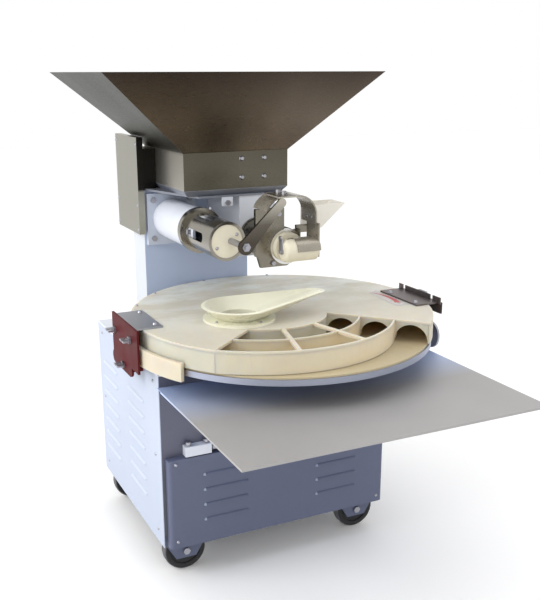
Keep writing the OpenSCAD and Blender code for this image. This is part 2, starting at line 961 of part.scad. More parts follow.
// Plate on the column and the extruder, with a drawn-in seat for the hopper's neck
module hopper_seat() {
    plate_top = column_top + seat_plate_t;
    seat_front = outlet_y - seat_lip;
    corner = outlet_x - seat_corner;
    color(pale_blue) placed()
        difference() {
            union() {
                translate([0, 0, column_top]) linear_extrude(seat_plate_t)
                    polygon([
                        [-column_left, column_rear], [-column_left, column_front], [corner, seat_front],
                        [neck_right - 6, seat_front], [neck_right - 6, column_rear]
                    ]);
                block([seat_lug_left, seat_front, column_top - seat_lug_h],
                      [seat_lug_right, seat_front + seat_lug_t, column_top + eps]);
                hull() {
                    translate([neck_left, neck_front, seat_top - 1]) cube([neck_w, neck_d, 1]);
                    translate([neck_left + seat_taper, neck_front + seat_taper, plate_top])
                        cube([neck_w - 2 * seat_taper, neck_d - 2 * seat_taper, 1]);
                }
            }
            translate([neck_left + seat_taper + 10, neck_front + seat_taper + 10, plate_top])
                cube([neck_w - 2 * seat_taper - 20, neck_d - 2 * seat_taper - 20, seat_h + 1]);
            block([outlet_x - throat_half, throat_front, column_top - 1],
                  [outlet_x + throat_half, throat_rear, plate_top + 1]);
        }
}

// Solid of the hopper's outside, drawn in on every side
module hopper_solid(inset, over) {
    w = neck_w - 2 * inset;
    d = neck_d - 2 * inset;
    top_w = rim_w - 2 * inset;
    top_d = rim_d - 2 * inset;
    translate([hopper_x - w / 2, hopper_y - d / 2, seat_top - over]) cube([w, d, neck_h + over + eps]);
    hull() {
        translate([hopper_x - w / 2, hopper_y - d / 2, neck_top]) cube([w, d, eps]);
        translate([hopper_x - top_w / 2, hopper_y - top_d / 2, hopper_top - eps])
            cube([top_w, top_d, eps + over]);
    }
}

module hopper() {
    color(steel) placed()
        difference() {
            hopper_solid(0, 0);
            hopper_solid(hopper_t, 1);
            bar_x(feed_shaft_r + running, neck_left - 1, neck_right + 1, roller_y, roller_z);
        }
}

module feed_roller() {
    left = neck_left + hopper_t + clear;
    right = neck_right - hopper_t - clear;
    color(steel) placed() {
        bar_x(feed_shaft_r, chain_x - sprocket_w / 2, neck_right + 4, roller_y, roller_z);
        bar_x(roller_core_r, left, right, roller_y, roller_z);
        for (i = [0:paddles - 1])
            translate([left, roller_y, roller_z]) rotate([360 / paddles * i, 0, 0])
                translate([0, -paddle_t / 2, 0]) cube([right - left, paddle_t, roller_r]);
    }
}

// Sprocket in the chain's plane, with notches for the chain's rollers
module sprocket(r, y, z, bore) {
    teeth = round(r / 2);
    translate([chain_x - sprocket_w / 2, y, z]) rotate([0, 90, 0])
        difference() {
            cylinder(r = r, h = sprocket_w);
            for (i = [0:teeth - 1])
                rotate([0, 0, 360 / teeth * i]) translate([r, 0, -1]) cylinder(r = 3, h = sprocket_w + 2);
            if (bore > 0) translate([0, 0, -1]) cylinder(r = bore, h = sprocket_w + 2);
        }
}

module roller_sprocket() {
    color(iron) placed() sprocket(roller_sprocket_r, roller_y, roller_z, feed_shaft_r + running);
}

module drive_sprocket() {
    color(iron) placed() {
        sprocket(drive_sprocket_r, drive_shaft_y, drive_shaft_z, 0);
        bar_x(feed_shaft_r, chain_x, feed_gearbox_left + 40, drive_shaft_y, drive_shaft_z);
    }
}

// Outline round the two sprockets, grown by a distance
module chain_outline(grow) {
    hull() {
        translate([drive_shaft_z, drive_shaft_y]) circle(r = drive_sprocket_r + grow);
        translate([roller_z, roller_y]) circle(r = roller_sprocket_r + grow);
    }
}

module drive_chain() {
    color(iron) placed()
        translate([chain_x + chain_w / 2, 0, 0]) rotate([0, -90, 0])
            linear_extrude(chain_w) difference() {
                chain_outline(clear + chain_t);
                chain_outline(clear);
            }
}

module feed_gearmotor() {
    color(iron) placed()
        difference() {
            block([feed_gearbox_left, column_front + column_t, feed_gearbox_bottom],
                  [feed_gearbox_right, column_front + column_t + feed_gearbox_d, feed_gearbox_top]);
            bar_y(feed_shaft_r + running, outlet_x, column_front, screw_shaft_end + 1, outlet_z);
            bar_x(feed_shaft_r + running, feed_gearbox_left - 1, feed_gearbox_left + 41,
                  drive_shaft_y, drive_shaft_z);
        }
}

// Screw with one flight, along Y
module feed_screw() {
    turns = (screw_rear - screw_front) / screw_pitch;
    color(steel) placed() {
        bar_y(feed_shaft_r, outlet_x, screw_front, screw_shaft_end, outlet_z);
        translate([outlet_x, screw_rear, outlet_z]) rotate([90, 0, 0])
            linear_extrude(screw_rear - screw_front, twist = 360 * turns,
                           slices = ceil(turns * screw_slices), $fn = 4)
                translate([feed_shaft_r - 3, -flight_t / 2])
                    square([screw_r - feed_shaft_r + 3, flight_t]);
    }
}

// Cutter drive

module cutter_drive_housing() {
    half = drive_flange / 2;
    color(pale_blue) placed()
        difference() {
            union() {
                block([drive_x - half, column_front - drive_flange_t, drive_z - half],
                      [drive_x + half, column_front, drive_z + half]);
                bar_y(housing_r, drive_x, housing_front, column_front - eps, drive_z);
                bar_y(sleeve_bore_r - spigot_clear, drive_x, housing_front - spigot_l,
                      housing_front + 1, drive_z);
            }
            bar_y(housing_bore_r, drive_x, housing_front - spigot_l - 1, column_front + 1, drive_z);
        }
}

// Lengthways window in the sleeve, turned about its axis
module sleeve_window(angle, half, y0, y1) {
    translate([drive_x, 0, drive_z]) rotate([0, angle, 0]) {
        translate([-sleeve_r - 5, y0 + half, -half]) cube([sleeve_r, y1 - y0 - 2 * half, 2 * half]);
        for (y = [y0 + half, y1 - half])
            translate([-sleeve_r - 5, y, 0]) rotate([0, 90, 0]) cylinder(r = half, h = sleeve_r);
    }
}

module adjuster_sleeve() {
    color(steel) placed()
        difference() {
            union() {
                bar_y(sleeve_r, drive_x, sleeve_front, housing_front, drive_z);
                bar_y(sleeve_collar_r, drive_x, housing_front - sleeve_collar_l, housing_front, drive_z);
            }
            bar_y(sleeve_bore_r, drive_x, sleeve_front - 1, housing_front + 1, drive_z);
            sleeve_window(5, 13, sleeve_front + 48, housing_front - 30);
            sleeve_window(75, 9, sleeve_front + 60, housing_front - 40);
        }
}

module end_cap() {
    color(nylon) placed()
        difference() {
            bar_y(sleeve_bore_r - running, drive_x, cap_front, cap_front + cap_t, drive_z);
            bar_y(rocker_r + running, rocker_x, cap_front - 1, cap_front + cap_t + 1, drive_z);
        }
}

// Bolt head that faces the operator
module front_bolt(x, y, z, r, h) {
    translate([x, y, z]) rotate([90, 0, 0]) hex_head(r, h);
}

module head_bolts() {
    ear = drive_flange / 2 - drive_ear;
    color(zinc) placed() {
        for (sx = [-1, 1]) for (sz = [-1, 1])
            front_bolt(drive_x + sx * ear, column_front - drive_flange_t, drive_z + sz * ear, 9, 8);
        for (a = [30, 210])
            front_screw(drive_x + 34 * cos(a), cap_front, drive_z + 34 * sin(a));
        translate([drive_x, housing_front - 50, drive_z]) rotate([0, 5, 0])
            bar_x(7, -sleeve_bore_r - 10, -sleeve_bore_r, 0, 0);
        translate([drive_x, housing_front - 11, drive_z]) rotate([0, 120, 0])
            bar_x(6, -sleeve_collar_r - 6, -sleeve_collar_r, 0, 0);
        for (p = [[-37, -46], [-20, 92], [-70, 70]])
            front_bolt(outlet_x + p.x, flange_front, outlet_z + p.y, 7, 7);
        front_bolt(seat_bolt_x, outlet_y - seat_lip, column_top - seat_bolt_drop, 8, 7);
        for (x = [-1, 1]) for (z = [-1, 1])
            translate([hopper_x + 52 + 36 * x, neck_front, roller_z + 6 + 27 * z])
                rotate([90, 0, 0]) dome_head(8, 5);
    }
}

module rocker_shaft() {
    color(zinc) placed() bar_y(rocker_r, rocker_x, lever_front, rocker_end, drive_z);
}

// Lever from the rocker shaft up to the yoke, with a flange that lies on the strap
module cutter_lever() {
    along = [lever_run, lever_rise];
    side = [-along.y, along.x] / norm(along);
    color(steel) placed() {
        translate([rocker_x, lever_rear, drive_z]) rotate([90, 0, 0])
            linear_extrude(lever_t) difference() {
                union() {
                    circle(r = lever_eye_r);
                    translate(along) circle(r = lever_top_r);
                    polygon([
                        side * (lever_eye_r - 1), along + side * (lever_top_r - 1),
                        along - side * (lever_top_r - 1), -side * (lever_eye_r - 1)
                    ]);
                }
                circle(r = rocker_r + running);
            }
        block([lever_top_x - 10, lever_front + 1, strap_top],
              [lever_top_x + lever_flange_w - 10, strap_front + strap_w * 0.7, strap_top + lever_flange_t]);
    }
}

// Edge of the strap seen from the front: an arch with a short left side and a long right leg
function strap_edge(inset) = concat(
    [for (i = [0:bend_steps]) let (a = strap_left_angle + (90 - strap_left_angle) * i / bend_steps)
        [strap_left_x, strap_bend_z] + (strap_bend - inset) * [cos(a), sin(a)]],
    [for (i = [0:bend_steps]) let (a = 90 - 90 * i / bend_steps)
        [strap_bend_x, strap_bend_z] + (strap_bend - inset) * [cos(a), sin(a)]],
    [[strap_right - inset, leg_bottom]]
);

// Half shell over the drum, on the tab
module drum_shell() {
    difference() {
        bar_x(shell_r, shell_left, strap_right - eps, drum_y, drum_z);
        bar_x(shell_r - shell_t, shell_left - 1, strap_right, drum_y, drum_z);
        block([shell_left - 1, drum_y - shell_r - 1, drum_z - shell_r - 1],
              [strap_right, drum_y + shell_r + 1, drum_z]);
    }
}

// Strap that arches over the nozzle and comes down to a tab at the end of the drum
module cutter_yoke() {
    color(steel) placed()
        difference() {
            union() {
                translate([0, strap_rear, 0]) rotate([90, 0, 0]) linear_extrude(strap_w)
                    polygon(concat(strap_edge(0), reversed(strap_edge(strap_t))));
                block([strap_right - strap_t, tab_front, tab_bottom], [strap_right, tab_rear, tab_top]);
                drum_shell();
            }
            bar_x(drum_pin_r + running, strap_right - strap_t - 1, strap_right + 1, drum_y, drum_z);
        }
}

// Small plate and bolt at the free end of the drum
module drum_link() {
    translate([drum_left - drum_link_t, drum_y, drum_z]) {
        bar_x(drum_link_r, 0, drum_link_t, 0, 0);
        bar_x(drum_link_r * 0.8, 0, drum_link_t, drum_link_r, drum_link_rise);
        block([0, -drum_link_r * 0.6, 0], [drum_link_t, drum_link_r * 1.5, drum_link_rise]);
        rotate([0, -90, 0]) hex_head(6, 5);
    }
}

module yoke_bolts() {
    flange_top = strap_top + lever_flange_t;
    color(zinc) placed() {
        for (share = [0.18, 0.6])
            translate([lever_top_x + lever_flange_w - 24, strap_front + strap_w * share, flange_top])
                hex_head(7, 8);
        front_bolt(rocker_x, lever_front, drive_z, 12, 3);
        front_bolt(rocker_x, lever_front - 3, drive_z, 7, 6);
        translate([strap_right, drum_y, drum_z]) rotate([0, 90, 0]) hex_head(9, 7);
        for (share = [0.3, 0.6])
            translate([strap_right - strap_t, strap_front + strap_w * share, leg_bottom + rivet_rise])
                rotate([0, -90, 0]) dome_head(4, 2);
        drum_link();
    }
}

// Half outline of the drum: radius and distance from its left end, with a round edge
drum_outline = concat(
    [[0, drum_l]], [[0, 0]],
    [for (i = [0:6]) let (a = 15 * i) [
        drum_r - drum_round + drum_round * sin(a), drum_round - drum_round * cos(a)]],
    [[drum_r, drum_l]]
);

module cutter_drum() {
    color(nylon) placed() {
        translate([drum_left, drum_y, drum_z]) rotate([0, 90, 0]) rotate_extrude() polygon(drum_outline);
        bar_x(drum_pin_r, drum_right - 1, strap_right, drum_y, drum_z);
    }
}

// Outlet

// Front flange of the outlet, as seen by the operator
module outlet_flange_outline() {
    polygon([
        [outlet_left_edge, outlet_side_low], [outlet_left_edge, outlet_high],
        [outlet_step_x, outlet_high], [outlet_step_x, outlet_step], [outlet_right_edge, outlet_step],
        [outlet_right_edge, outlet_right_low], [outlet_foot_right, outlet_low],
        [outlet_foot_left, outlet_low], [outlet_left_edge + outlet_side_cut, outlet_side_low]
    ]);
}

module outlet_barrel() {
    color(steel) placed()
        difference() {
            union() {
                bar_y(barrel_bore_r + barrel_wall, outlet_x, barrel_front - eps, outlet_y, outlet_z);
                bar_y(rear_flange_r, outlet_x, outlet_y - rear_flange_t, outlet_y, outlet_z);
                translate([0, barrel_front, 0]) rotate([90, 0, 0])
                    linear_extrude(flange_t) outlet_flange_outline();
            }
            bar_y(barrel_bore_r, outlet_x, barrel_front, outlet_y + 1, outlet_z);
            bar_y(nozzle_r + running, outlet_x, flange_front - 1, outlet_y, outlet_z);
        }
}

module nozzle_collar() {
    color(steel) placed()
        difference() {
            bar_y(collar_r, outlet_x, flange_front - collar_t, flange_front, outlet_z);
            bar_y(nozzle_r + running, outlet_x, flange_front - collar_t - 1, flange_front + 1, outlet_z);
        }
}

module nozzle_ring() {
    color(nylon) placed()
        difference() {
            union() {
                bar_y(nozzle_r, outlet_x, nozzle_front, barrel_front - 2, outlet_z);
                bar_y(nozzle_lip_r, outlet_x, nozzle_front, flange_front - collar_t, outlet_z);
            }
            bar_y(nozzle_bore_r, outlet_x, nozzle_front - 1, barrel_front, outlet_z);
        }
}

// Solid of the flour box, drawn in by its wall
module flour_solid(inset, over) {
    hull() {
        translate([box_left + inset, box_rear - box_d + inset, box_bottom + inset])
            cube([box_base_w - 2 * inset, box_d - 2 * inset, eps]);
        translate([box_left + inset, box_rear - box_d + inset, box_bottom + box_h + over - eps])
            cube([box_top_w - 2 * inset, box_d - 2 * inset, eps]);
    }
}

module flour_box() {
    color(steel) placed() {
        difference() {
            flour_solid(0, 0);
            flour_solid(box_t, 1);
            translate([box_left + 10, box_rear - box_d / 2 - 8, box_bottom - 1])
                cube([box_base_w - 20, 16, 2 * box_t + 2]);
        }
        block([outlet_right_edge - box_tab_t, barrel_front, box_bottom - box_tab_drop],
              [box_left + eps, barrel_front + box_tab_t, box_bottom + box_tab_l]);
    }
}

// Turntable

module turntable_disc() {
    color(slate) placed() at_disc()
        difference() {
            translate([0, 0, disc_under]) cylinder(r = disc_r, h = disc_t, $fn = 192);
            difference() {
                translate([0, 0, disc_under - 1]) cylinder(r = disc_r - rim_width, h = disc_t - web_t + 1);
                translate([0, 0, disc_under - 1]) cylinder(r = hub_r, h = disc_t);
            }
        }
}

module turntable_lining() {
    color(cream) placed() at_disc()
        translate([0, 0, disc_top]) cylinder(r = disc_r - lining_t, h = lining_t, $fn = 192);
}

module turntable_shaft() {
    color(zinc) placed() at_disc() {
        translate([0, 0, shaft_bottom]) cylinder(r = shaft_r, h = disc_under - shaft_bottom);
        translate([0, 0, disc_under - shaft_flange_t]) cylinder(r = hub_r - 10, h = shaft_flange_t);
    }
}

module bearing_housing() {
    color(iron) placed() at_disc()
        difference() {
            union() {
                translate([0, 0, deck_under - bearing_flange_t])
                    cylinder(r = shaft_r + 34, h = bearing_flange_t);
                translate([0, 0, deck_under - bearing_h]) cylinder(r = shaft_r + 18, h = bearing_h);
            }
            translate([0, 0, deck_under - bearing_h - 1]) cylinder(r = shaft_r + running, h = bearing_h + 2);
        }
}

module drive_gearmotor() {
    half = gearbox_w / 2;
    color(iron) placed() at_disc()
        difference() {
            union() {
                block([-half, -half, bed_z], [half, half, bed_z + gearbox_h]);
                bar_y(motor_r, 0, half - 1, half + motor_l, bed_z + gearbox_h / 2 + 15);
                block([-35, half + 60, bed_z + gearbox_h], [35, half + 150, bed_z + gearbox_h + 50]);
            }
            translate([0, 0, shaft_bottom - clear]) cylinder(r = shaft_r + running, h = gearbox_h);
        }
}

// Cover

// Cut-out of the plate: everything beyond the innermost ramp, between the two cut edges
module cut_out() {
    far = cover_r * 1.6;
    polygon(concat(
        ramp_edge(2, 0),
        [[far * cos(cut_end), far * sin(cut_end)], [0, -far * 1.3],
         [far * cos(cut_start), far * sin(cut_start)]]
    ));
}

// Flat bar across the cut-out, from the innermost ramp to the outermost one, which it meets at an angle
module cut_bar(angle) {
    share = (angle - cut_start) / cut_span;
    foot = angle - bar_lean;
    inner = (ramp_r(2, share) - wall_t) * [cos(foot), sin(foot)];
    outer = (ramp_r(0, share) - wall_t / 2) * [cos(angle), sin(angle)];
    along = outer - inner;
    side = [-along.y, along.x] / norm(along) * bar_w / 2;
    polygon([inner - side, outer - side, outer + side, inner + side]);
}

module cover_plate() {
    color(cream) placed() at_disc()
        translate([0, 0, plate_under]) linear_extrude(plate_t)
            difference() {
                union() {
                    difference() {
                        circle(r = cover_r, $fn = 192);
                        cut_out();
                    }
                    for (turn = [0, 1]) ramp_strip(turn);
                    for (angle = bar_angles) cut_bar(angle);
                }
                translate([-funnel_left, -funnel_front]) circle(r = funnel_hole_r);
            }
}

module outer_wall() {
    color(cream) placed() at_disc()
        ring_arc(cover_r - wall_t, cover_r, wall_bottom, plate_under, cut_end, 360 - cut_span);
}

// Upright plate at the end of the cut-out, with one round-topped opening per channel
module portal() {
    inner = ramp_r(2, 1) - wall_t - overlap;
    leg = wall_h - arch_r - 3;
    rotate([0, 0, cut_end]) difference() {
        block([inner, -overlap, wall_bottom], [cover_r - wall_t - clear, wall_t, plate_under]);
        for (turn = [0:2])
            translate([ramp_r(turn, 1) + arch_r, wall_t + 1, wall_bottom + leg]) rotate([90, 0, 0]) {
                cylinder(r = arch_r - clear, h = wall_t + overlap + 2);
                translate([-arch_r + clear, -wall_h, 0])
                    cube([2 * (arch_r - clear), wall_h, wall_t + overlap + 2]);
            }
    }
}

module spiral_guide() {
    color(cream) placed() at_disc() {
        translate([0, 0, wall_bottom]) linear_extrude(wall_h)
            polygon(concat(guide_edge(0), reversed(guide_edge(wall_t))));
        portal();
    }
}

// Pear-shaped bowl of the funnel, from its foot to its rim and the tip of its tongue
module funnel_bowl(foot_r, rim_r, tip_r, lift) {
    hull() {
        translate([0, 0, lift]) cylinder(r = foot_r, h = 1, $fn = 48);
        translate([0, 0, funnel_rim_h + lift]) cylinder(r = rim_r, h = 1, $fn = 64);
        rotate([0, 0, tongue_angle]) translate([tongue_l, 0, tongue_h + lift])
            cylinder(r = tip_r, h = 1, $fn = 32);
    }
}

module funnel() {
    color(ivory) placed()
        translate([funnel_x, funnel_y, cover_top]) {
            difference() {
                union() {
                    cylinder(r = funnel_flange_r, h = funnel_flange_t);
                    translate([0, 0, funnel_flange_t - 1])
                        funnel_bowl(funnel_hole_r + funnel_wall, funnel_rim_r, tongue_tip_r, 0);
                }
                translate([0, 0, funnel_flange_t - 1])
                    funnel_bowl(funnel_hole_r - 2, funnel_rim_r - funnel_wall,
                                tongue_tip_r - funnel_wall, funnel_wall);
                translate([0, 0, -1]) cylinder(r = funnel_hole_r, h = funnel_rim_h);
            }
        }
}

module cover_screws() {
    ear = funnel_flange_r - 15;
    color(zinc) placed() {
        for (a = [20, 110, 200, 290])
            translate([funnel_x + ear * cos(a), funnel_y + ear * sin(a), cover_top + funnel_flange_t])
                dome_head(screw_r_head, screw_h);
        for (a = [70, 100, 130, 150])
            at_disc() rotate([0, 0, a]) translate([cover_r - wall_t / 2 - 4, 0, cover_top])
                dome_head(screw_r_head, screw_h);
        for (y = [-1, 1]) {
            translate([left_plate_x - plate_screw_in, left_bracket_y + y * plate_screw_y, bracket_top])
                dome_head(7, 5);
            translate([bracket_right_x - top_plate_w + plate_screw_in, right_bracket_y + y * plate_screw_y,
                       bracket_top])
                dome_head(7, 5);
        }
        bar_x(wing_r, bracket_right_x + bracket_t, right_link_x + clear + eps,
              right_bracket_y, right_bolt_z);
        translate([right_link_x + clear, right_bracket_y, right_bolt_z]) rotate([0, 90, 0])
            hex_head(wing_head, right_bolt_h);
    }
}

module rim_guard() {
    inner = disc_r + guard_gap;
    low = disc_under - guard_drop;
    high = wall_bottom + guard_high;
    color(cream) placed() {
        at_disc() ring_arc(inner, inner + guard_t, low, high, guard_start, guard_span);
        block([bracket_left_x, disc_y - guard_pad_front, low + guard_pad_in],
              [disc_x - inner - guard_t / 2, disc_y + guard_pad_back, high - guard_pad_in]);
    }
}

// Brackets

module left_bracket() {
    x0 = bracket_left_x - bracket_t;
    color(dark_red) placed()
        difference() {
            block([x0, left_bracket_y - bracket_l / 2, bracket_bottom],
                  [bracket_left_x, left_bracket_y + bracket_l / 2, bracket_top]);
            bar_x(slot_r, x0 - 1, bracket_left_x + 1, tongue_y, upper_bolt_z);
            bar_x(slot_r, x0 - 1, bracket_left_x + 1, front_bolt_y, front_bolt_z);
        }
}

module right_bracket() {
    color(iron) placed()
        block([bracket_right_x, right_bracket_y - right_bracket_l / 2, right_bracket_bottom],
              [bracket_right_x + bracket_t, right_bracket_y + right_bracket_l / 2, bracket_top]);
}

// Plates that lie on the cover and join it to the brackets; the right one has a flange in three tabs
module bracket_plates() {
    half = bracket_l / 2 - plate_end;
    right_half = right_bracket_l / 2;
    inner = bracket_right_x - right_flange_t;
    color(zinc) placed() {
        block([bracket_left_x, left_bracket_y - half, cover_top],
              [left_plate_x, left_bracket_y + half, bracket_top]);
        block([bracket_right_x - top_plate_w, right_bracket_y - right_half + right_plate_front, cover_top],
              [bracket_right_x, right_bracket_y + right_half - right_plate_back, bracket_top]);
        difference() {
            block([inner, right_bracket_y - right_half, cover_top],
                  [bracket_right_x, right_bracket_y + right_half, bracket_top + right_flange_h]);
            for (y = [notch_front, notch_back]) translate([0, right_bracket_y + y, 0])
                block([inner - 1, -notch_half, bracket_top],
                      [bracket_right_x + 1, notch_half, bracket_top + right_flange_h + 1]);
        }
    }
}

// Slot along Y or Z through a link, between two ends
module link_slot(y0, y1, z0, z1) {
    bar_x(slot_r, -1, link_t + 1, y0, z0);
    bar_x(slot_r, -1, link_t + 1, y1, z1);
    block([-1, y0 - (z1 > z0 ? slot_r : 0), z0 - (z1 > z0 ? 0 : slot_r)],
          [link_t + 1, y1 + (z1 > z0 ? slot_r : 0), z1 + (z1 > z0 ? 0 : slot_r)]);
}

// Slotted link whose plate spans x = 0 to link_t, with feet that reach on to the cabinet
module bracket_link(y, z, half, r, slot_y, upright_y, bolt_z, foot_y, foot) {
    difference() {
        union() {
            block([0, y - half, z - r], [link_t, y + half, z + r]);
            for (side = [-1, 1]) bar_x(r, 0, link_t, y + side * half, z);
            block([0, upright_y - tongue_half, z],
                  [link_t, upright_y + tongue_half, bolt_z + cover_lift + tongue_over]);
        }
        link_slot(slot_y, slot_y + link_slot_l, z, z);
        link_slot(upright_y, upright_y, bolt_z - slot_over, bolt_z + cover_lift + slot_over);
    }
    for (fy = foot_y) bar_x(foot_r, link_t - eps, link_t + foot, fy, link_z);
}

module bracket_links() {
    foot = -half_w - (bracket_left_x + link_gap + link_t);
    foot_y = link_half - 5;
    color(dark_red) placed() {
        translate([bracket_left_x + link_gap, 0, 0])
            bracket_link(link_y, link_z, link_half, link_r, lower_bolt_y, tongue_y, upper_bolt_z,
                         [link_y - foot_y, link_y + foot_y], foot);
        mirror([1, 0, 0]) translate([-right_link_x, 0, 0])
            bracket_link(right_bracket_y, right_link_z, right_link_half, right_link_r, right_slot_y,
                         right_bracket_y, right_bolt_z, [right_foot_front, right_foot_back],
                         right_link_x - link_t - half_w);
    }
}

// Wing bolt along X: a shank from x = 0 inwards, a head and two wings outside
module wing_bolt(x, y, z, reach) {
    translate([x, y, z]) {
        bar_x(wing_r, 0, reach, 0, 0);
        bar_x(wing_head, -6, 0, 0, 0);
        for (side = [-1, 1])
            block([-wing_out, side > 0 ? 3 : -wing_span, -wing_t / 2],
                  [-4, side > 0 ? wing_span : -3, wing_t / 2]);
        bar_x(6, -12, -5, 0, 0);
    }
}

module wing_bolt_upper() {
    color(zinc) placed()
        wing_bolt(bracket_left_x - bracket_t, tongue_y, upper_bolt_z, bracket_t + link_gap + link_t + 4);
}

module wing_bolt_front() {
    color(zinc) placed()
        wing_bolt(bracket_left_x - bracket_t, front_bolt_y, front_bolt_z,
                  cover_left - bracket_left_x + bracket_t - clear);
}

module wing_bolt_lower() {
    color(zinc) placed()
        wing_bolt(bracket_left_x + link_gap, lower_bolt_y, link_z,
                  -half_w - bracket_left_x - link_gap - clear);
}

// Tray

module tray() {
    right = tray_left + tray_w;
    under = tray_z - tray_t;
    low = under - tray_lip;
    color(zinc) placed() {
        block([tray_left, tray_front, under], [right, tray_rear, tray_z]);
        block([tray_left, tray_front, low], [right, tray_front + tray_t, under + eps]);
        for (x = [tray_left, right - tray_t])
            block([x, tray_front, low], [x + tray_t, tray_rear - ledge_d, under + eps]);
    }
}

// Ledge under the tray's rear edge, and a pinned block for each strut
module tray_brackets() {
    under = tray_z - tray_t;
    half = half_w - 30;
    color(pale_blue) placed() {
        block([-half, -half_d - ledge_d, under - ledge_t], [half, -half_d, under]);
        block([-half, -half_d - ledge_t, under - ledge_h], [half, -half_d, under - ledge_t + eps]);
        for (side = [-1, 1]) {
            inner = side * (block_x - block_w / 2);
            block([side * block_x - block_w / 2, -half_d - block_d, block_z],
                  [side * block_x + block_w / 2, -half_d, block_z + block_h]);
            bar_x(strut_r, min(inner, inner - side * pin_l), max(inner, inner - side * pin_l), pin_y, pin_z);
        }
    }
}

module tray_struts() {
    under = tray_z - tray_t;
    run = pin_y - pad_y;
    rise = under - pad_t / 2 - pin_z;
    eye_w = pin_l - eye_play;
    eye_r = block_d / 2 - 1;
    color(zinc) placed()
        for (side = [-1, 1]) translate([side * strut_x, 0, 0]) {
            difference() {
                union() {
                    bar_x(eye_r, -eye_w / 2, eye_w / 2, pin_y, pin_z);
                    translate([0, pin_y, pin_z]) rotate([atan2(run, rise), 0, 0])
                        cylinder(r = strut_r, h = norm([run, rise]) - strut_r * 2);
                }
                bar_x(strut_r + running, -eye_w, eye_w, pin_y, pin_z);
            }
            block([-pad_w / 2, pad_y - pad_l / 2, under - pad_t], [pad_w / 2, pad_y + pad_l / 2, under]);
            block([-lug_half, pad_y - lug_front, under - lug_h],
                  [lug_half, pad_y + lug_back, under - pad_t + eps]);
        }
}

base_frame();
left_panel();
right_panel();
rear_panel();
front_upper_panel();
front_lower_panel();
top_deck();
panel_screws();
caster_forks();
caster_axles();
caster_wheel_fl();
caster_wheel_fr();
caster_wheel_rl();
caster_wheel_rr();
cable_gland();
column();
chain_cover();
extruder_housing();
hopper_seat();
hopper();
feed_roller();
roller_sprocket();
drive_sprocket();
drive_chain();
feed_gearmotor();
feed_screw();
cutter_drive_housing();
adjuster_sleeve();
end_cap();
head_bolts();
rocker_shaft();
cutter_lever();
cutter_yoke();
yoke_bolts();
cutter_drum();
outlet_barrel();
nozzle_collar();
nozzle_ring();
flour_box();
turntable_disc();
turntable_lining();
turntable_shaft();
bearing_housing();
drive_gearmotor();
cover_plate();
outer_wall();
spiral_guide();
funnel();
cover_screws();
rim_guard();
left_bracket();
right_bracket();
bracket_plates();
bracket_links();
wing_bolt_upper();
wing_bolt_front();
wing_bolt_lower();
tray();
tray_struts();
tray_brackets();
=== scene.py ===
# Looks, stage and camera of the dough divider and rounder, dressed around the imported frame.

import json
import math

import bpy
from mathutils import Matrix, Vector


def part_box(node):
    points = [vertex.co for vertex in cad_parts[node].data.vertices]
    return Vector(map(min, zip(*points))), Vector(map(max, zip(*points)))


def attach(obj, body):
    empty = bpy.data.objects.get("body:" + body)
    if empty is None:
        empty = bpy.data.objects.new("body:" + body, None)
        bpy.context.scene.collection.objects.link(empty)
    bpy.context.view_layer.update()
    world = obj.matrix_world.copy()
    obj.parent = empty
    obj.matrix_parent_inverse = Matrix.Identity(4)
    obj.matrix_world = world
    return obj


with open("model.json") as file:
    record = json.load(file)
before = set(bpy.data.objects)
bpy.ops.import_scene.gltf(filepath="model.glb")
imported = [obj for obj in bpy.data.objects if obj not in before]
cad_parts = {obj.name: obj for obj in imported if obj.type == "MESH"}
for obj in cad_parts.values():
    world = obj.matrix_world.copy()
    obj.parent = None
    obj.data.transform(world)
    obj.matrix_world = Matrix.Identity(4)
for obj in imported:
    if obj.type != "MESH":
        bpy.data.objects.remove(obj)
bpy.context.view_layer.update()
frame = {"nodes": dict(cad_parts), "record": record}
NODES = frame["nodes"]


# Shader helpers

# Most values of a noise texture lie between these two
NOISE_LOW, NOISE_HIGH = 0.3, 0.7
# Sockets of the mix node when it mixes colours
MIX_FACTOR, MIX_FIRST, MIX_SECOND, MIX_RESULT = 0, 6, 7, 2


def rgba(colour):
    return (*colour, 1)


def shade(colour, factor):
    return tuple(min(1.0, c * factor) for c in colour)


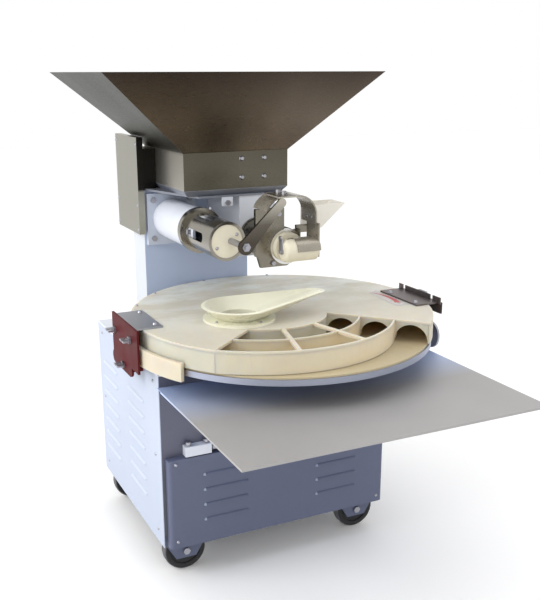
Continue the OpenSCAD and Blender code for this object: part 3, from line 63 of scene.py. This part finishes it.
class Shader:
    """A small helper around one material's node tree."""

    def __init__(self, name):
        self.material = bpy.data.materials.new(name)
        self.material.use_nodes = True
        self.tree = self.material.node_tree
        self.bsdf = self.tree.nodes["Principled BSDF"]
        self.coords = self.tree.nodes.new("ShaderNodeTexCoord")

    def node(self, kind, **values):
        made = self.tree.nodes.new(kind)
        for key, value in values.items():
            setattr(made, key, value)
        return made

    def feed(self, target, value):
        """Links a socket to an input, or sets the input to a plain value."""
        if isinstance(value, bpy.types.NodeSocket):
            self.tree.links.new(value, target)
        else:
            target.default_value = value

    def set(self, name, value):
        self.feed(self.bsdf.inputs[name], value)

    def axis(self, name):
        made = self.node("ShaderNodeSeparateXYZ")
        self.feed(made.inputs["Vector"], self.coords.outputs["Object"])
        return made.outputs[name]

    def noise(self, scale, detail=4.0, rough=0.55, stretch=(1, 1, 1)):
        """Noise with this many features to the metre, packed closer along the axes that stretch raises."""
        mapping = self.node("ShaderNodeMapping")
        self.feed(mapping.inputs["Scale"], stretch)
        self.feed(mapping.inputs["Vector"], self.coords.outputs["Object"])
        made = self.node("ShaderNodeTexNoise")
        values = {"Scale": scale, "Detail": detail, "Roughness": rough, "Vector": mapping.outputs["Vector"]}
        for key, value in values.items():
            self.feed(made.inputs[key], value)
        return made.outputs["Fac"]

    def spread(self, factor, low, high, start=NOISE_LOW, end=NOISE_HIGH):
        """The factor's stretch from start to end, mapped onto low to high."""
        made = self.node("ShaderNodeMapRange")
        values = {"From Min": start, "From Max": end, "To Min": low, "To Max": high, "Value": factor}
        for key, value in values.items():
            self.feed(made.inputs[key], value)
        return made.outputs["Result"]

    def ramp(self, factor, stops):
        made = self.node("ShaderNodeValToRGB")
        elements = made.color_ramp.elements
        for index, (place, colour) in enumerate((stops[0], stops[-1])):
            elements[index].position = place
            elements[index].color = rgba(colour)
        for place, colour in stops[1:-1]:
            elements.new(place).color = rgba(colour)
        self.feed(made.inputs["Fac"], factor)
        return made.outputs["Color"]

    def mottled(self, noise, colour, low, high):
        """The colour, darkened to its share low and lightened to its share high by the noise."""
        return self.ramp(noise, [(NOISE_LOW, shade(colour, low)), (NOISE_HIGH, shade(colour, high))])

    def mix(self, factor, first, second):
        made = self.node("ShaderNodeMix", data_type="RGBA")
        for index, value in ((MIX_FACTOR, factor), (MIX_FIRST, first), (MIX_SECOND, second)):
            self.feed(made.inputs[index], value)
        return made.outputs[MIX_RESULT]

    def times(self, first, second):
        made = self.node("ShaderNodeMath", operation="MULTIPLY")
        self.feed(made.inputs[0], first)
        self.feed(made.inputs[1], second)
        return made.outputs[0]

    def scaled(self, colour, factor):
        made = self.node("ShaderNodeVectorMath", operation="SCALE")
        self.feed(made.inputs[0], colour)
        self.feed(made.inputs["Scale"], factor)
        return made.outputs[0]

    def bump(self, height, strength, distance):
        made = self.node("ShaderNodeBump")
        for key, value in (("Strength", strength), ("Distance", distance), ("Height", height)):
            self.feed(made.inputs[key], value)
        self.set("Normal", made.outputs["Normal"])


# Kinds of material


def painted(name, colour, vary, rough, sheen=0.4, grime=0.0):
    """Sprayed paint with soft clouds, a fine orange peel and, where asked for, specks of grime."""
    s = Shader(name)
    base = s.mottled(s.noise(3.0, detail=5.0), colour, 1 - vary, 1 + vary)
    if grime:
        specks = s.noise(40.0, detail=6.0, rough=0.7)
        mask = s.spread(specks, 0.0, grime, start=0.55, end=0.8)
        base = s.mix(mask, base, rgba(shade(colour, 0.55)))
    s.set("Base Color", base)
    s.set("Roughness", s.spread(s.noise(12.0, detail=3.0), rough - 0.06, rough + 0.08))
    s.bump(s.noise(420.0, detail=2.0), strength=0.06, distance=0.0006)
    s.set("Specular IOR Level", sheen)
    return s.material


def brushed(name, colour, rough, stretch=(1, 1, 12), vary=0.06, edge=1.0, metal=1.0, scale=60.0):
    """Metal with a fine grain that runs across the axis with the most stretch."""
    s = Shader(name)
    grain = s.noise(scale, detail=3.0, rough=0.6, stretch=stretch)
    cloud = s.noise(2.2, detail=3.0)
    base = s.mottled(grain, colour, 1 - vary, 1 + vary)
    s.set("Base Color", s.mix(s.spread(cloud, 0.0, 0.5), base, rgba(shade(colour, 0.82))))
    s.set("Roughness", s.spread(grain, rough - 0.04, rough + 0.06))
    s.bump(grain, strength=0.012, distance=0.0003)
    s.set("Metallic", metal)
    s.set("Specular Tint", rgba((edge, edge, edge)))
    return s.material


def rolled_grain(s):
    return s.noise(55.0, detail=3.0, rough=0.6, stretch=(1, 1, 14))


def sheet_steel(name, stops, low, high, rough, streaks, edge=0.3):
    """Rolled sheet with painted reflections and shade that change from height low to high, and soft upright
    streaks of painted reflection.
    """
    s = Shader(name)
    tone = s.ramp(s.spread(s.axis("Z"), 0.0, 1.0, start=low, end=high), stops)
    soft = s.spread(s.noise(5.0, detail=2.0, rough=0.5, stretch=(1, 1, 0.12)), 1 - streaks, 1 + streaks)
    grain = rolled_grain(s)
    s.set("Base Color", s.scaled(tone, s.times(soft, s.spread(grain, 0.96, 1.04))))
    s.set("Roughness", s.spread(grain, rough - 0.05, rough + 0.06))
    s.bump(grain, strength=0.02, distance=0.0003)
    s.set("Metallic", 1.0)
    s.set("Specular Tint", rgba((edge, edge, edge)))
    return s.material


def split_front(name, upper, lower, level, blend=0.004, edge=0.3):
    """Sheet with painted shade above a level, where it stands behind the hopper, and plain steel below."""
    s = Shader(name)
    grain = rolled_grain(s)
    dark = s.mottled(grain, upper, 0.8, 1.2)
    plain = s.mottled(grain, lower, 0.94, 1.06)
    above = s.spread(s.axis("Z"), 0.0, 1.0, start=level - blend, end=level + blend)
    s.set("Base Color", s.mix(above, plain, dark))
    s.set("Roughness", s.spread(grain, 0.3, 0.45))
    s.set("Metallic", 1.0)
    s.set("Specular Tint", rgba((edge, edge, edge)))
    return s.material


def tray_sheet(name, colour, reflection_tint, near, far):
    """Brushed sheet with a painted blue reflection that grows towards the machine."""
    s = Shader(name)
    grain = s.noise(40.0, detail=3.0, rough=0.6, stretch=(1, 14, 1))
    base = s.mottled(grain, colour, 0.95, 1.05)
    worn = s.mix(s.spread(s.noise(4.0), 0.0, 0.35), base, rgba(shade(colour, 0.8)))
    # Painted reflection: a blue cast over the sheet near the machine, under the disc
    s.set("Base Color", s.mix(s.spread(s.axis("Y"), 0.0, 1.0, start=far, end=near), worn, rgba(reflection_tint)))
    s.set("Roughness", s.spread(grain, 0.42, 0.58))
    s.bump(grain, strength=0.04, distance=0.0004)
    s.set("Metallic", 0.3)
    return s.material


def plastic(name, colour, vary, rough, scatter=0.0):
    """Moulded plastic with faint clouds and a little light let through."""
    s = Shader(name)
    s.set("Base Color", s.mottled(s.noise(9.0, detail=5.0), colour, 1 - vary, 1 + vary))
    s.set("Roughness", s.spread(s.noise(25.0, detail=3.0), rough - 0.05, rough + 0.08))
    s.bump(s.noise(180.0, detail=3.0), strength=0.05, distance=0.0006)
    s.set("Subsurface Weight", scatter)
    s.set("Subsurface Radius", (0.01, 0.008, 0.005))
    return s.material


def floury(name, colour, flour, amount, scatter, rough=0.5, front=-0.15, back=0.2):
    """Cream board with a dusting of dry flour that grows from front to back."""
    s = Shader(name)
    base = s.mottled(s.noise(6.0, detail=6.0, rough=0.6), colour, 0.94, 1.04)
    streaks = s.noise(5.0, detail=6.0, rough=0.65, stretch=(1.0, 2.4, 1.0))
    patches = s.spread(streaks, 0.0, 1.0, start=0.42, end=0.6)
    depth = s.spread(s.axis("Y"), 0.0, 1.0, start=front, end=back)
    s.set("Base Color", s.mix(s.times(s.times(patches, depth), amount), base, rgba(flour)))
    s.set("Roughness", s.spread(s.noise(30.0), rough - 0.08, rough + 0.12))
    s.bump(s.noise(160.0), strength=0.08, distance=0.0008)
    s.set("Subsurface Weight", scatter)
    s.set("Subsurface Radius", (0.040, 0.024, 0.012))
    s.set("Subsurface Scale", 1.0)
    return s.material


def rubber(name, colour):
    """Dull rubber, paler where it is scuffed."""
    s = Shader(name)
    scuffs = s.noise(60.0, detail=6.0, rough=0.7)
    s.set("Base Color", s.ramp(scuffs, [(0.35, shade(colour, 0.8)), (0.75, shade(colour, 1.5))]))
    s.set("Roughness", s.spread(scuffs, 0.6, 0.85))
    s.bump(scuffs, strength=0.15, distance=0.001)
    return s.material


# Materials, each as its kind and the values for it

PLAIN_STEEL = (0.35, 0.34, 0.29)
# Painted shade: near-black steel for faces that stand in shadow behind the hopper
SHADED_STEEL = (0.022, 0.021, 0.019)
COLUMN_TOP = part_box("column")[1].z
NECK_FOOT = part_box("hopper")[0].z
HOPPER_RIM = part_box("hopper")[1].z
# Heights between which the lever goes from painted shade to painted highlight
LEVER_SHADE, LEVER_HIGHLIGHT = 0.95, 1.05
LEVER_TONES = [(0.0, (0.075, 0.064, 0.052)), (0.45, (0.13, 0.115, 0.095)), (1.0, (0.46, 0.43, 0.37))]
# Painted reflections and shade by height; the neck ends, and the slope begins, about a third of the way up
# the hopper
FRONT_TONES = [(0.0, (0.130, 0.120, 0.092)), (0.32, (0.105, 0.094, 0.072)), (0.34, (0.190, 0.155, 0.120)),
               (0.6, (0.155, 0.125, 0.096)), (1.0, (0.062, 0.049, 0.040))]
SIDE_TONES = [(0.0, (0.50, 0.48, 0.43)), (0.3, (0.36, 0.34, 0.30)), (0.36, (0.09, 0.085, 0.07)),
              (0.6, (0.125, 0.127, 0.117)), (1.0, (0.135, 0.138, 0.127))]

RECIPES = {
    # The cabinet's one pale blue-grey paint in lit and shaded copies: painted light on the left panel,
    # painted shade on the front, right and rear panels and the caster forks
    "left_paint": (painted, dict(colour=(0.46, 0.515, 0.63), vary=0.05, rough=0.45)),
    # Painted highlights on the louvres of the left panel and on the left ends of the front panel's
    "louvre_pale": (painted, dict(colour=(0.545, 0.595, 0.70), vary=0.03, rough=0.4)),
    "louvre_tip": (painted, dict(colour=(0.30, 0.33, 0.45), vary=0.05, rough=0.4)),
    "pale_paint": (painted, dict(colour=(0.68, 0.71, 0.78), vary=0.05, rough=0.42)),
    "slate_paint": (painted, dict(colour=(0.105, 0.120, 0.190), vary=0.07, rough=0.42, grime=0.2)),
    "upper_paint": (painted, dict(colour=(0.115, 0.120, 0.165), vary=0.07, rough=0.42, grime=0.15)),
    "column_paint": (painted, dict(colour=(0.44, 0.52, 0.69), vary=0.05, rough=0.42)),
    # Painted shade: a darker copy of the pale paint for the drive housing's front faces
    "flange_paint": (painted, dict(colour=(0.55, 0.60, 0.70), vary=0.04, rough=0.42)),
    # Painted light: a paler copy of the column's paint for its lit left faces
    "column_side": (painted, dict(colour=(0.60, 0.63, 0.67), vary=0.03, rough=0.42)),
    "frame_paint": (painted, dict(colour=(0.12, 0.13, 0.15), vary=0.1, rough=0.5, grime=0.3)),
    "red_paint": (painted, dict(colour=(0.085, 0.009, 0.011), vary=0.15, rough=0.5, sheen=0.08, grime=0.4)),
    "zinc": (brushed, dict(colour=(0.42, 0.42, 0.46), rough=0.38, stretch=(4, 4, 4))),
    "plate_zinc": (brushed, dict(colour=(0.40, 0.41, 0.45), rough=0.4, stretch=(1, 8, 1), vary=0.07)),
    "plate_dark": (brushed, dict(colour=(0.19, 0.165, 0.16), rough=0.42, stretch=(1, 8, 1), vary=0.1)),
    "tray_steel": (tray_sheet, dict(colour=(0.385, 0.375, 0.372), reflection_tint=(0.48, 0.60, 0.90),
                                    near=-0.12, far=-0.36)),
    "stainless": (brushed, dict(colour=(0.44, 0.42, 0.37), rough=0.24)),
    "sleeve_steel": (brushed, dict(colour=(0.30, 0.28, 0.24), rough=0.2, stretch=(1, 8, 1), vary=0.08)),
    "outlet_steel": (brushed, dict(colour=(0.24, 0.22, 0.18), rough=0.25, stretch=(1, 1, 2), edge=0.6,
                                   scale=24.0)),
    "yoke_steel": (brushed, dict(colour=(0.36, 0.33, 0.275), rough=0.26, stretch=(1, 1, 2), vary=0.1,
                                 metal=0.6, scale=18.0)),
    # Painted shade at the lever's foot and painted highlight at its top
    "lever_steel": (sheet_steel, dict(stops=LEVER_TONES, low=LEVER_SHADE, high=LEVER_HIGHLIGHT, rough=0.26,
                                      streaks=0.08, edge=0.5)),
    "seat_steel": (brushed, dict(colour=(0.25, 0.265, 0.31), rough=0.36, metal=0.55)),
    "hopper_front": (sheet_steel, dict(stops=FRONT_TONES, low=NECK_FOOT, high=HOPPER_RIM, rough=0.3,
                                       streaks=0.1)),
    "hopper_side": (sheet_steel, dict(stops=SIDE_TONES, low=NECK_FOOT, high=HOPPER_RIM, rough=0.34,
                                      streaks=0.2, edge=0.6)),
    "chain_steel": (brushed, dict(colour=PLAIN_STEEL, rough=0.36)),
    "chain_front": (split_front, dict(upper=SHADED_STEEL, lower=PLAIN_STEEL, level=COLUMN_TOP)),
    "dark_steel": (brushed, dict(colour=SHADED_STEEL, rough=0.35, vary=0.15, edge=0.3)),
    "bright_steel": (brushed, dict(colour=(0.70, 0.69, 0.66), rough=0.16, stretch=(4, 1, 4), vary=0.05)),
    "drive_iron": (painted, dict(colour=(0.09, 0.095, 0.10), vary=0.12, rough=0.55, grime=0.3)),
    "bracket_iron": (painted, dict(colour=(0.035, 0.024, 0.022), vary=0.15, rough=0.5, grime=0.3)),
    "disc_metal": (brushed, dict(colour=(0.42, 0.45, 0.55), rough=0.45, stretch=(1, 1, 8))),
    "cover_board": (floury, dict(colour=(0.60, 0.54, 0.45), flour=(0.76, 0.735, 0.68), amount=0.9,
                                 scatter=0.6)),
    "wall_board": (floury, dict(colour=(0.63, 0.555, 0.44), flour=(0.62, 0.58, 0.50), amount=0.3,
                                scatter=0.6)),
    "lining": (floury, dict(colour=(0.50, 0.415, 0.265), flour=(0.60, 0.56, 0.47), amount=0.3,
                            scatter=0.2)),
    "funnel_ivory": (plastic, dict(colour=(0.80, 0.79, 0.64), vary=0.04, rough=0.3, scatter=0.1)),
    "nylon": (plastic, dict(colour=(0.78, 0.73, 0.58), vary=0.06, rough=0.42)),
    "box_cream": (plastic, dict(colour=(0.80, 0.77, 0.70), vary=0.04, rough=0.35, scatter=0.1)),
    "arrow_red": (plastic, dict(colour=(0.42, 0.015, 0.02), vary=0.1, rough=0.35)),
    "film_grey": (plastic, dict(colour=(0.50, 0.46, 0.44), vary=0.08, rough=0.3)),
    "black_plastic": (plastic, dict(colour=(0.02, 0.02, 0.022), vary=0.2, rough=0.5)),
    "wheel_black": (rubber, dict(colour=(0.018, 0.018, 0.02))),
    "wheel_tread": (rubber, dict(colour=(0.10, 0.10, 0.105))),
}
MATERIALS = {name: make(name, **values) for name, (make, values) in RECIPES.items()}


# Dressing the nodes

# Nodes with a look of their own; the others take the material that has their slot's name
LOOK = {
    # The panel paints are lit and shaded copies of one paint: painted light on the left panel, painted shade
    # on the others
    "left_panel": "left_paint",
    "right_panel": "slate_paint",
    "rear_panel": "slate_paint",
    "front_upper_panel": "upper_paint",
    "front_lower_panel": "slate_paint",
    "top_deck": "pale_paint",
    "caster_forks": "slate_paint",
    "base_frame": "frame_paint",
    "column": "column_paint",
    "extruder_housing": "pale_paint",
    "hopper_seat": "seat_steel",
    "cutter_drive_housing": "pale_paint",
    "tray_brackets": "pale_paint",
    "chain_cover": "chain_steel",
    "hopper": "hopper_side",
    "tray": "tray_steel",
    "turntable_disc": "disc_metal",
    "turntable_lining": "lining",
    "cover_plate": "cover_board",
    "outer_wall": "wall_board",
    "spiral_guide": "wall_board",
    "rim_guard": "wall_board",
    "funnel": "funnel_ivory",
    "left_bracket": "red_paint",
    "bracket_links": "red_paint",
    "right_bracket": "bracket_iron",
    "bracket_plates": "plate_zinc",
    "adjuster_sleeve": "sleeve_steel",
    "outlet_barrel": "outlet_steel",
    "cutter_lever": "lever_steel",
    "cutter_yoke": "yoke_steel",
    "flour_box": "box_cream",
    "nozzle_collar": "bright_steel",
    "cable_gland": "black_plastic",
}
WHEELS = ("fl", "fr", "rl", "rr")
TREAD_T = 0.0035
# A face looks along an axis when its normal has at least this share there
FACING = 0.9
# The hopper's sloping front looks forward by at least this share
SLOPING = 0.5
# Faces of a pressed louvre lean out of the panel by shares between these
LOUVRE_FLAT, LOUVRE_STEEP = 0.99, 0.3
LOUVRE_RISE = 0.1
TIP_TURN = 0.2
# Parts of a node that differ, measured from its left edge
CHAIN_STRIP_W = 0.0205
PANEL_FOLD_W = 0.03
BOX_STEEL_W = 0.0358
# Faces of the seat that are lower than the column's top by this much belong to its lug
LUG_DROP = 0.001


def dress():
    """One material on each node."""
    slot_of = {row["node"]: row["material_slot"] for row in frame["record"]["subparts"]}
    for name, obj in NODES.items():
        obj.data.materials.clear()
        obj.data.materials.append(MATERIALS[LOOK.get(name, slot_of[name])])


def chosen_faces(node, material, wanted):
    """One more material, on the faces of one node that are wanted by their centre and normal."""
    mesh = NODES[node].data
    mesh.materials.append(MATERIALS[material])
    index = len(mesh.materials) - 1
    for face in mesh.polygons:
        if wanted(face.center, face.normal):
            face.material_index = index


def wheel_treads():
    """The outer band of each wheel is a greyer tread."""
    for key in WHEELS:
        name = "caster_wheel_" + key
        low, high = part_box(name)
        middle = (low + high) / 2
        inner_r = (high.z - low.z) / 2 - TREAD_T
        chosen_faces(name, "wheel_tread", lambda c, n: math.hypot(c.x - middle.x, c.z - middle.z) > inner_r)


def head_tones():
    """Faces of the hopper, chain cover, column and seat that catch another tone, most of it painted light and
    shade.
    """
    low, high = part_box("hopper")
    middle = (low.y + high.y) / 2
    # Painted reflections and shade: the sloping front takes its own copy of the hopper's steel
    chosen_faces("hopper", "hopper_front", lambda c, n: n.y < -SLOPING and c.y < middle)
    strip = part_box("chain_cover")[0].x + CHAIN_STRIP_W
    # Painted shade on the chain cover's front: above the column's top on the left strip, and all over to the
    # right of it
    chosen_faces("chain_cover", "chain_front", lambda c, n: n.y < -FACING and c.x <= strip)
    chosen_faces("chain_cover", "dark_steel", lambda c, n: n.y < -FACING and c.x > strip)
    # Painted light on the column's left faces
    chosen_faces("column", "column_side", lambda c, n: n.x < -FACING)
    chosen_faces("hopper_seat", "pale_paint", lambda c, n: c.z < COLUMN_TOP - LUG_DROP)
    # Painted shade on the drive housing's front faces
    chosen_faces("cutter_drive_housing", "flange_paint", lambda c, n: n.y < -FACING)
    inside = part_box("flour_box")[0].x + BOX_STEEL_W
    chosen_faces("flour_box", "outlet_steel", lambda c, n: c.x < inside)


def bracket_tones():
    """The right-hand plate is darker than the left one, and the right-hand link is plain zinc."""
    chosen_faces("bracket_plates", "plate_dark", lambda c, n: c.x > 0)
    chosen_faces("bracket_links", "plate_zinc", lambda c, n: c.x > 0)


def louvre_tones():
    """The left panel's louvres, and the left ends of the front panel's, get painted highlights."""
    chosen_faces("left_panel", "louvre_pale",
                 lambda c, n: -LOUVRE_FLAT < n.x < -LOUVRE_STEEP and n.z > LOUVRE_RISE)
    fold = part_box("front_lower_panel")[0].x + PANEL_FOLD_W
    chosen_faces("front_lower_panel", "louvre_tip",
                 lambda c, n: n.y < -LOUVRE_STEEP and n.x < -TIP_TURN and c.x > fold)


# Turning arrow: a plain film on the cover with a curved red arrow

FILM_T = 0.0002
FILM_LIFT = 0.0002
ARROW_LIFT = 0.0005
# From the right edge of the right-hand plate to the film's right edge
FILM_INSET = 0.079
# Corners of the film: how far left of its right edge, and y
FILM_CORNERS = ((0.036, 0.030), (0.0, 0.058), (0.0, -0.128), (0.044, -0.124))
ARROW_IN = 0.040
ARROW_Y = -0.035
ARROW_ACROSS, ARROW_ALONG = 0.030, 0.078
ARROW_HALF_TURN = 52
ARROW_STEPS = 12
ARROW_HEAD_W, ARROW_TAIL_W = 0.004, 0.018
# Flattens the direction in which the arrow's width is laid off
ARROW_SQUASH = 0.45
ARROW_TIP = 0.012


def sheet(name, outline, z, thickness, material):
    """A thin flat piece with this outline, lying at height z."""
    count = len(outline)
    points = [(x, y, z) for x, y in outline] + [(x, y, z + thickness) for x, y in outline]
    faces = [tuple(range(count))[::-1], tuple(range(count, 2 * count))]
    faces += [(i, (i + 1) % count, count + (i + 1) % count, count + i) for i in range(count)]
    mesh = bpy.data.meshes.new(name)
    mesh.from_pydata(points, [], faces)
    mesh.materials.append(MATERIALS[material])
    obj = bpy.data.objects.new(name, mesh)
    bpy.context.scene.collection.objects.link(obj)
    return obj


def arrow_outline(right):
    """A bent arrow along an arc, that widens from its tip to its tail."""
    outer, inner = [], []
    for step in range(ARROW_STEPS + 1):
        share = step / ARROW_STEPS
        angle = math.radians(ARROW_HALF_TURN * (1 - 2 * share))
        width = ARROW_HEAD_W + (ARROW_TAIL_W - ARROW_HEAD_W) * share
        across = ARROW_ACROSS * math.cos(angle)
        along = ARROW_ALONG * math.sin(angle)
        spine = Vector((right - ARROW_IN + across, ARROW_Y + along))
        out = Vector((math.cos(angle), ARROW_SQUASH * math.sin(angle))).normalized() * width / 2
        outer.append(spine + out)
        inner.append(spine - out)
    tip = outer[0] + Vector((-ARROW_TIP, ARROW_TIP))
    return [tip] + inner + outer[::-1]


def turn_arrow():
    """Film beside the right-hand plate, with an arrow that shows which way the disc turns."""
    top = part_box("cover_plate")[1].z
    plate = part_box("bracket_plates")[1]
    right = plate.x - FILM_INSET
    film = [(right - left, y) for left, y in FILM_CORNERS]
    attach(sheet("arrow_film", film, top + FILM_LIFT, FILM_T, "film_grey"), "cover")
    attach(sheet("arrow", arrow_outline(right), top + ARROW_LIFT, FILM_T, "arrow_red"), "cover")


# Edges: a fine round on folded sheets and boards

SHEETS = ("left_panel", "right_panel", "front_upper_panel", "front_lower_panel", "column", "extruder_housing",
          "hopper_seat", "left_bracket", "right_bracket", "bracket_plates", "top_deck")
SHEET_ROUND = 0.0008
BOARDS = ("cover_plate", "outer_wall", "rim_guard", "cutter_drum", "end_cap")
BOARD_ROUND = 0.0015
SHARP_EDGE = math.radians(40)


def round_edges(width, names):
    for name in names:
        edge = NODES[name].modifiers.new("edge", "BEVEL")
        edge.width = width
        edge.segments = 2
        edge.limit_method = "ANGLE"
        edge.angle_limit = SHARP_EDGE
        edge.harden_normals = True


# Stage, light and camera

FLOOR_SIZE = 30
FLOOR_DARK, FLOOR_PALE = (0.955, 0.955, 0.955), (0.975, 0.975, 0.975)
FLOOR_GLOW = 0.05
# The photograph's view, fitted to the cabinet, the tray, the round cover and the hopper's rim
CAMERA_PLACE = (-1.07615, -2.16445, 1.3816)
CAMERA_YAW = -0.444
CAMERA_PITCH = math.radians(-16.55)
CAMERA_ROLL = -0.003
CAMERA_LENS = 52.16
CAMERA_SENSOR = 36
CAMERA_SHIFT = (0.01183, 0.05)
CAMERA_REACH = 60


def stage():
    """A pale floor that fades into a white surround."""
    bpy.ops.mesh.primitive_plane_add(size=FLOOR_SIZE, location=(0, 0, 0))
    floor = bpy.context.object
    floor.name = "floor"
    s = Shader("floor")
    cloud = s.noise(0.8, detail=3.0)
    s.set("Base Color", s.ramp(cloud, [(NOISE_LOW, FLOOR_DARK), (NOISE_HIGH, FLOOR_PALE)]))
    s.set("Roughness", 0.7)
    s.set("Emission Color", (1, 1, 1, 1))
    s.set("Emission Strength", FLOOR_GLOW)
    floor.data.materials.append(s.material)
    world = bpy.data.worlds.new("studio")
    world.use_nodes = True
    back = world.node_tree.nodes["Background"]
    back.inputs["Color"].default_value = (1, 1, 1, 1)
    back.inputs["Strength"].default_value = 1.0
    bpy.context.scene.world = world


def area_light(name, place, target, size, power):
    light = bpy.data.lights.new(name, "AREA")
    light.size = size
    light.energy = power
    obj = bpy.data.objects.new(name, light)
    bpy.context.scene.collection.objects.link(obj)
    obj.location = place
    way = Vector(target) - Vector(place)
    obj.rotation_euler = way.to_track_quat("-Z", "Y").to_euler()


def lights():
    area_light("key_left", place=(-3.4, 0.2, 2.6), target=(0, 0, 0.7), size=2.2, power=70)
    area_light("top_soft", place=(0.2, -0.6, 3.6), target=(0, -0.1, 0.6), size=2.5, power=20)


def camera():
    data = bpy.data.cameras.new("photo_view")
    data.sensor_width = CAMERA_SENSOR
    data.lens = CAMERA_LENS
    data.shift_x, data.shift_y = CAMERA_SHIFT
    data.clip_end = CAMERA_REACH
    obj = bpy.data.objects.new("photo_view", data)
    bpy.context.scene.collection.objects.link(obj)
    yaw = Matrix.Rotation(CAMERA_YAW, 4, "Z")
    pitch = Matrix.Rotation(math.pi / 2 + CAMERA_PITCH, 4, "X")
    roll = Matrix.Rotation(CAMERA_ROLL, 4, "Z")
    obj.matrix_world = Matrix.Translation(CAMERA_PLACE) @ yaw @ pitch @ roll
    bpy.context.scene.camera = obj


dress()
wheel_treads()
head_tones()
bracket_tones()
louvre_tones()
turn_arrow()
round_edges(SHEET_ROUND, SHEETS)
round_edges(BOARD_ROUND, BOARDS)
stage()
lights()
camera()
bpy.context.scene.view_settings.view_transform = "Standard"
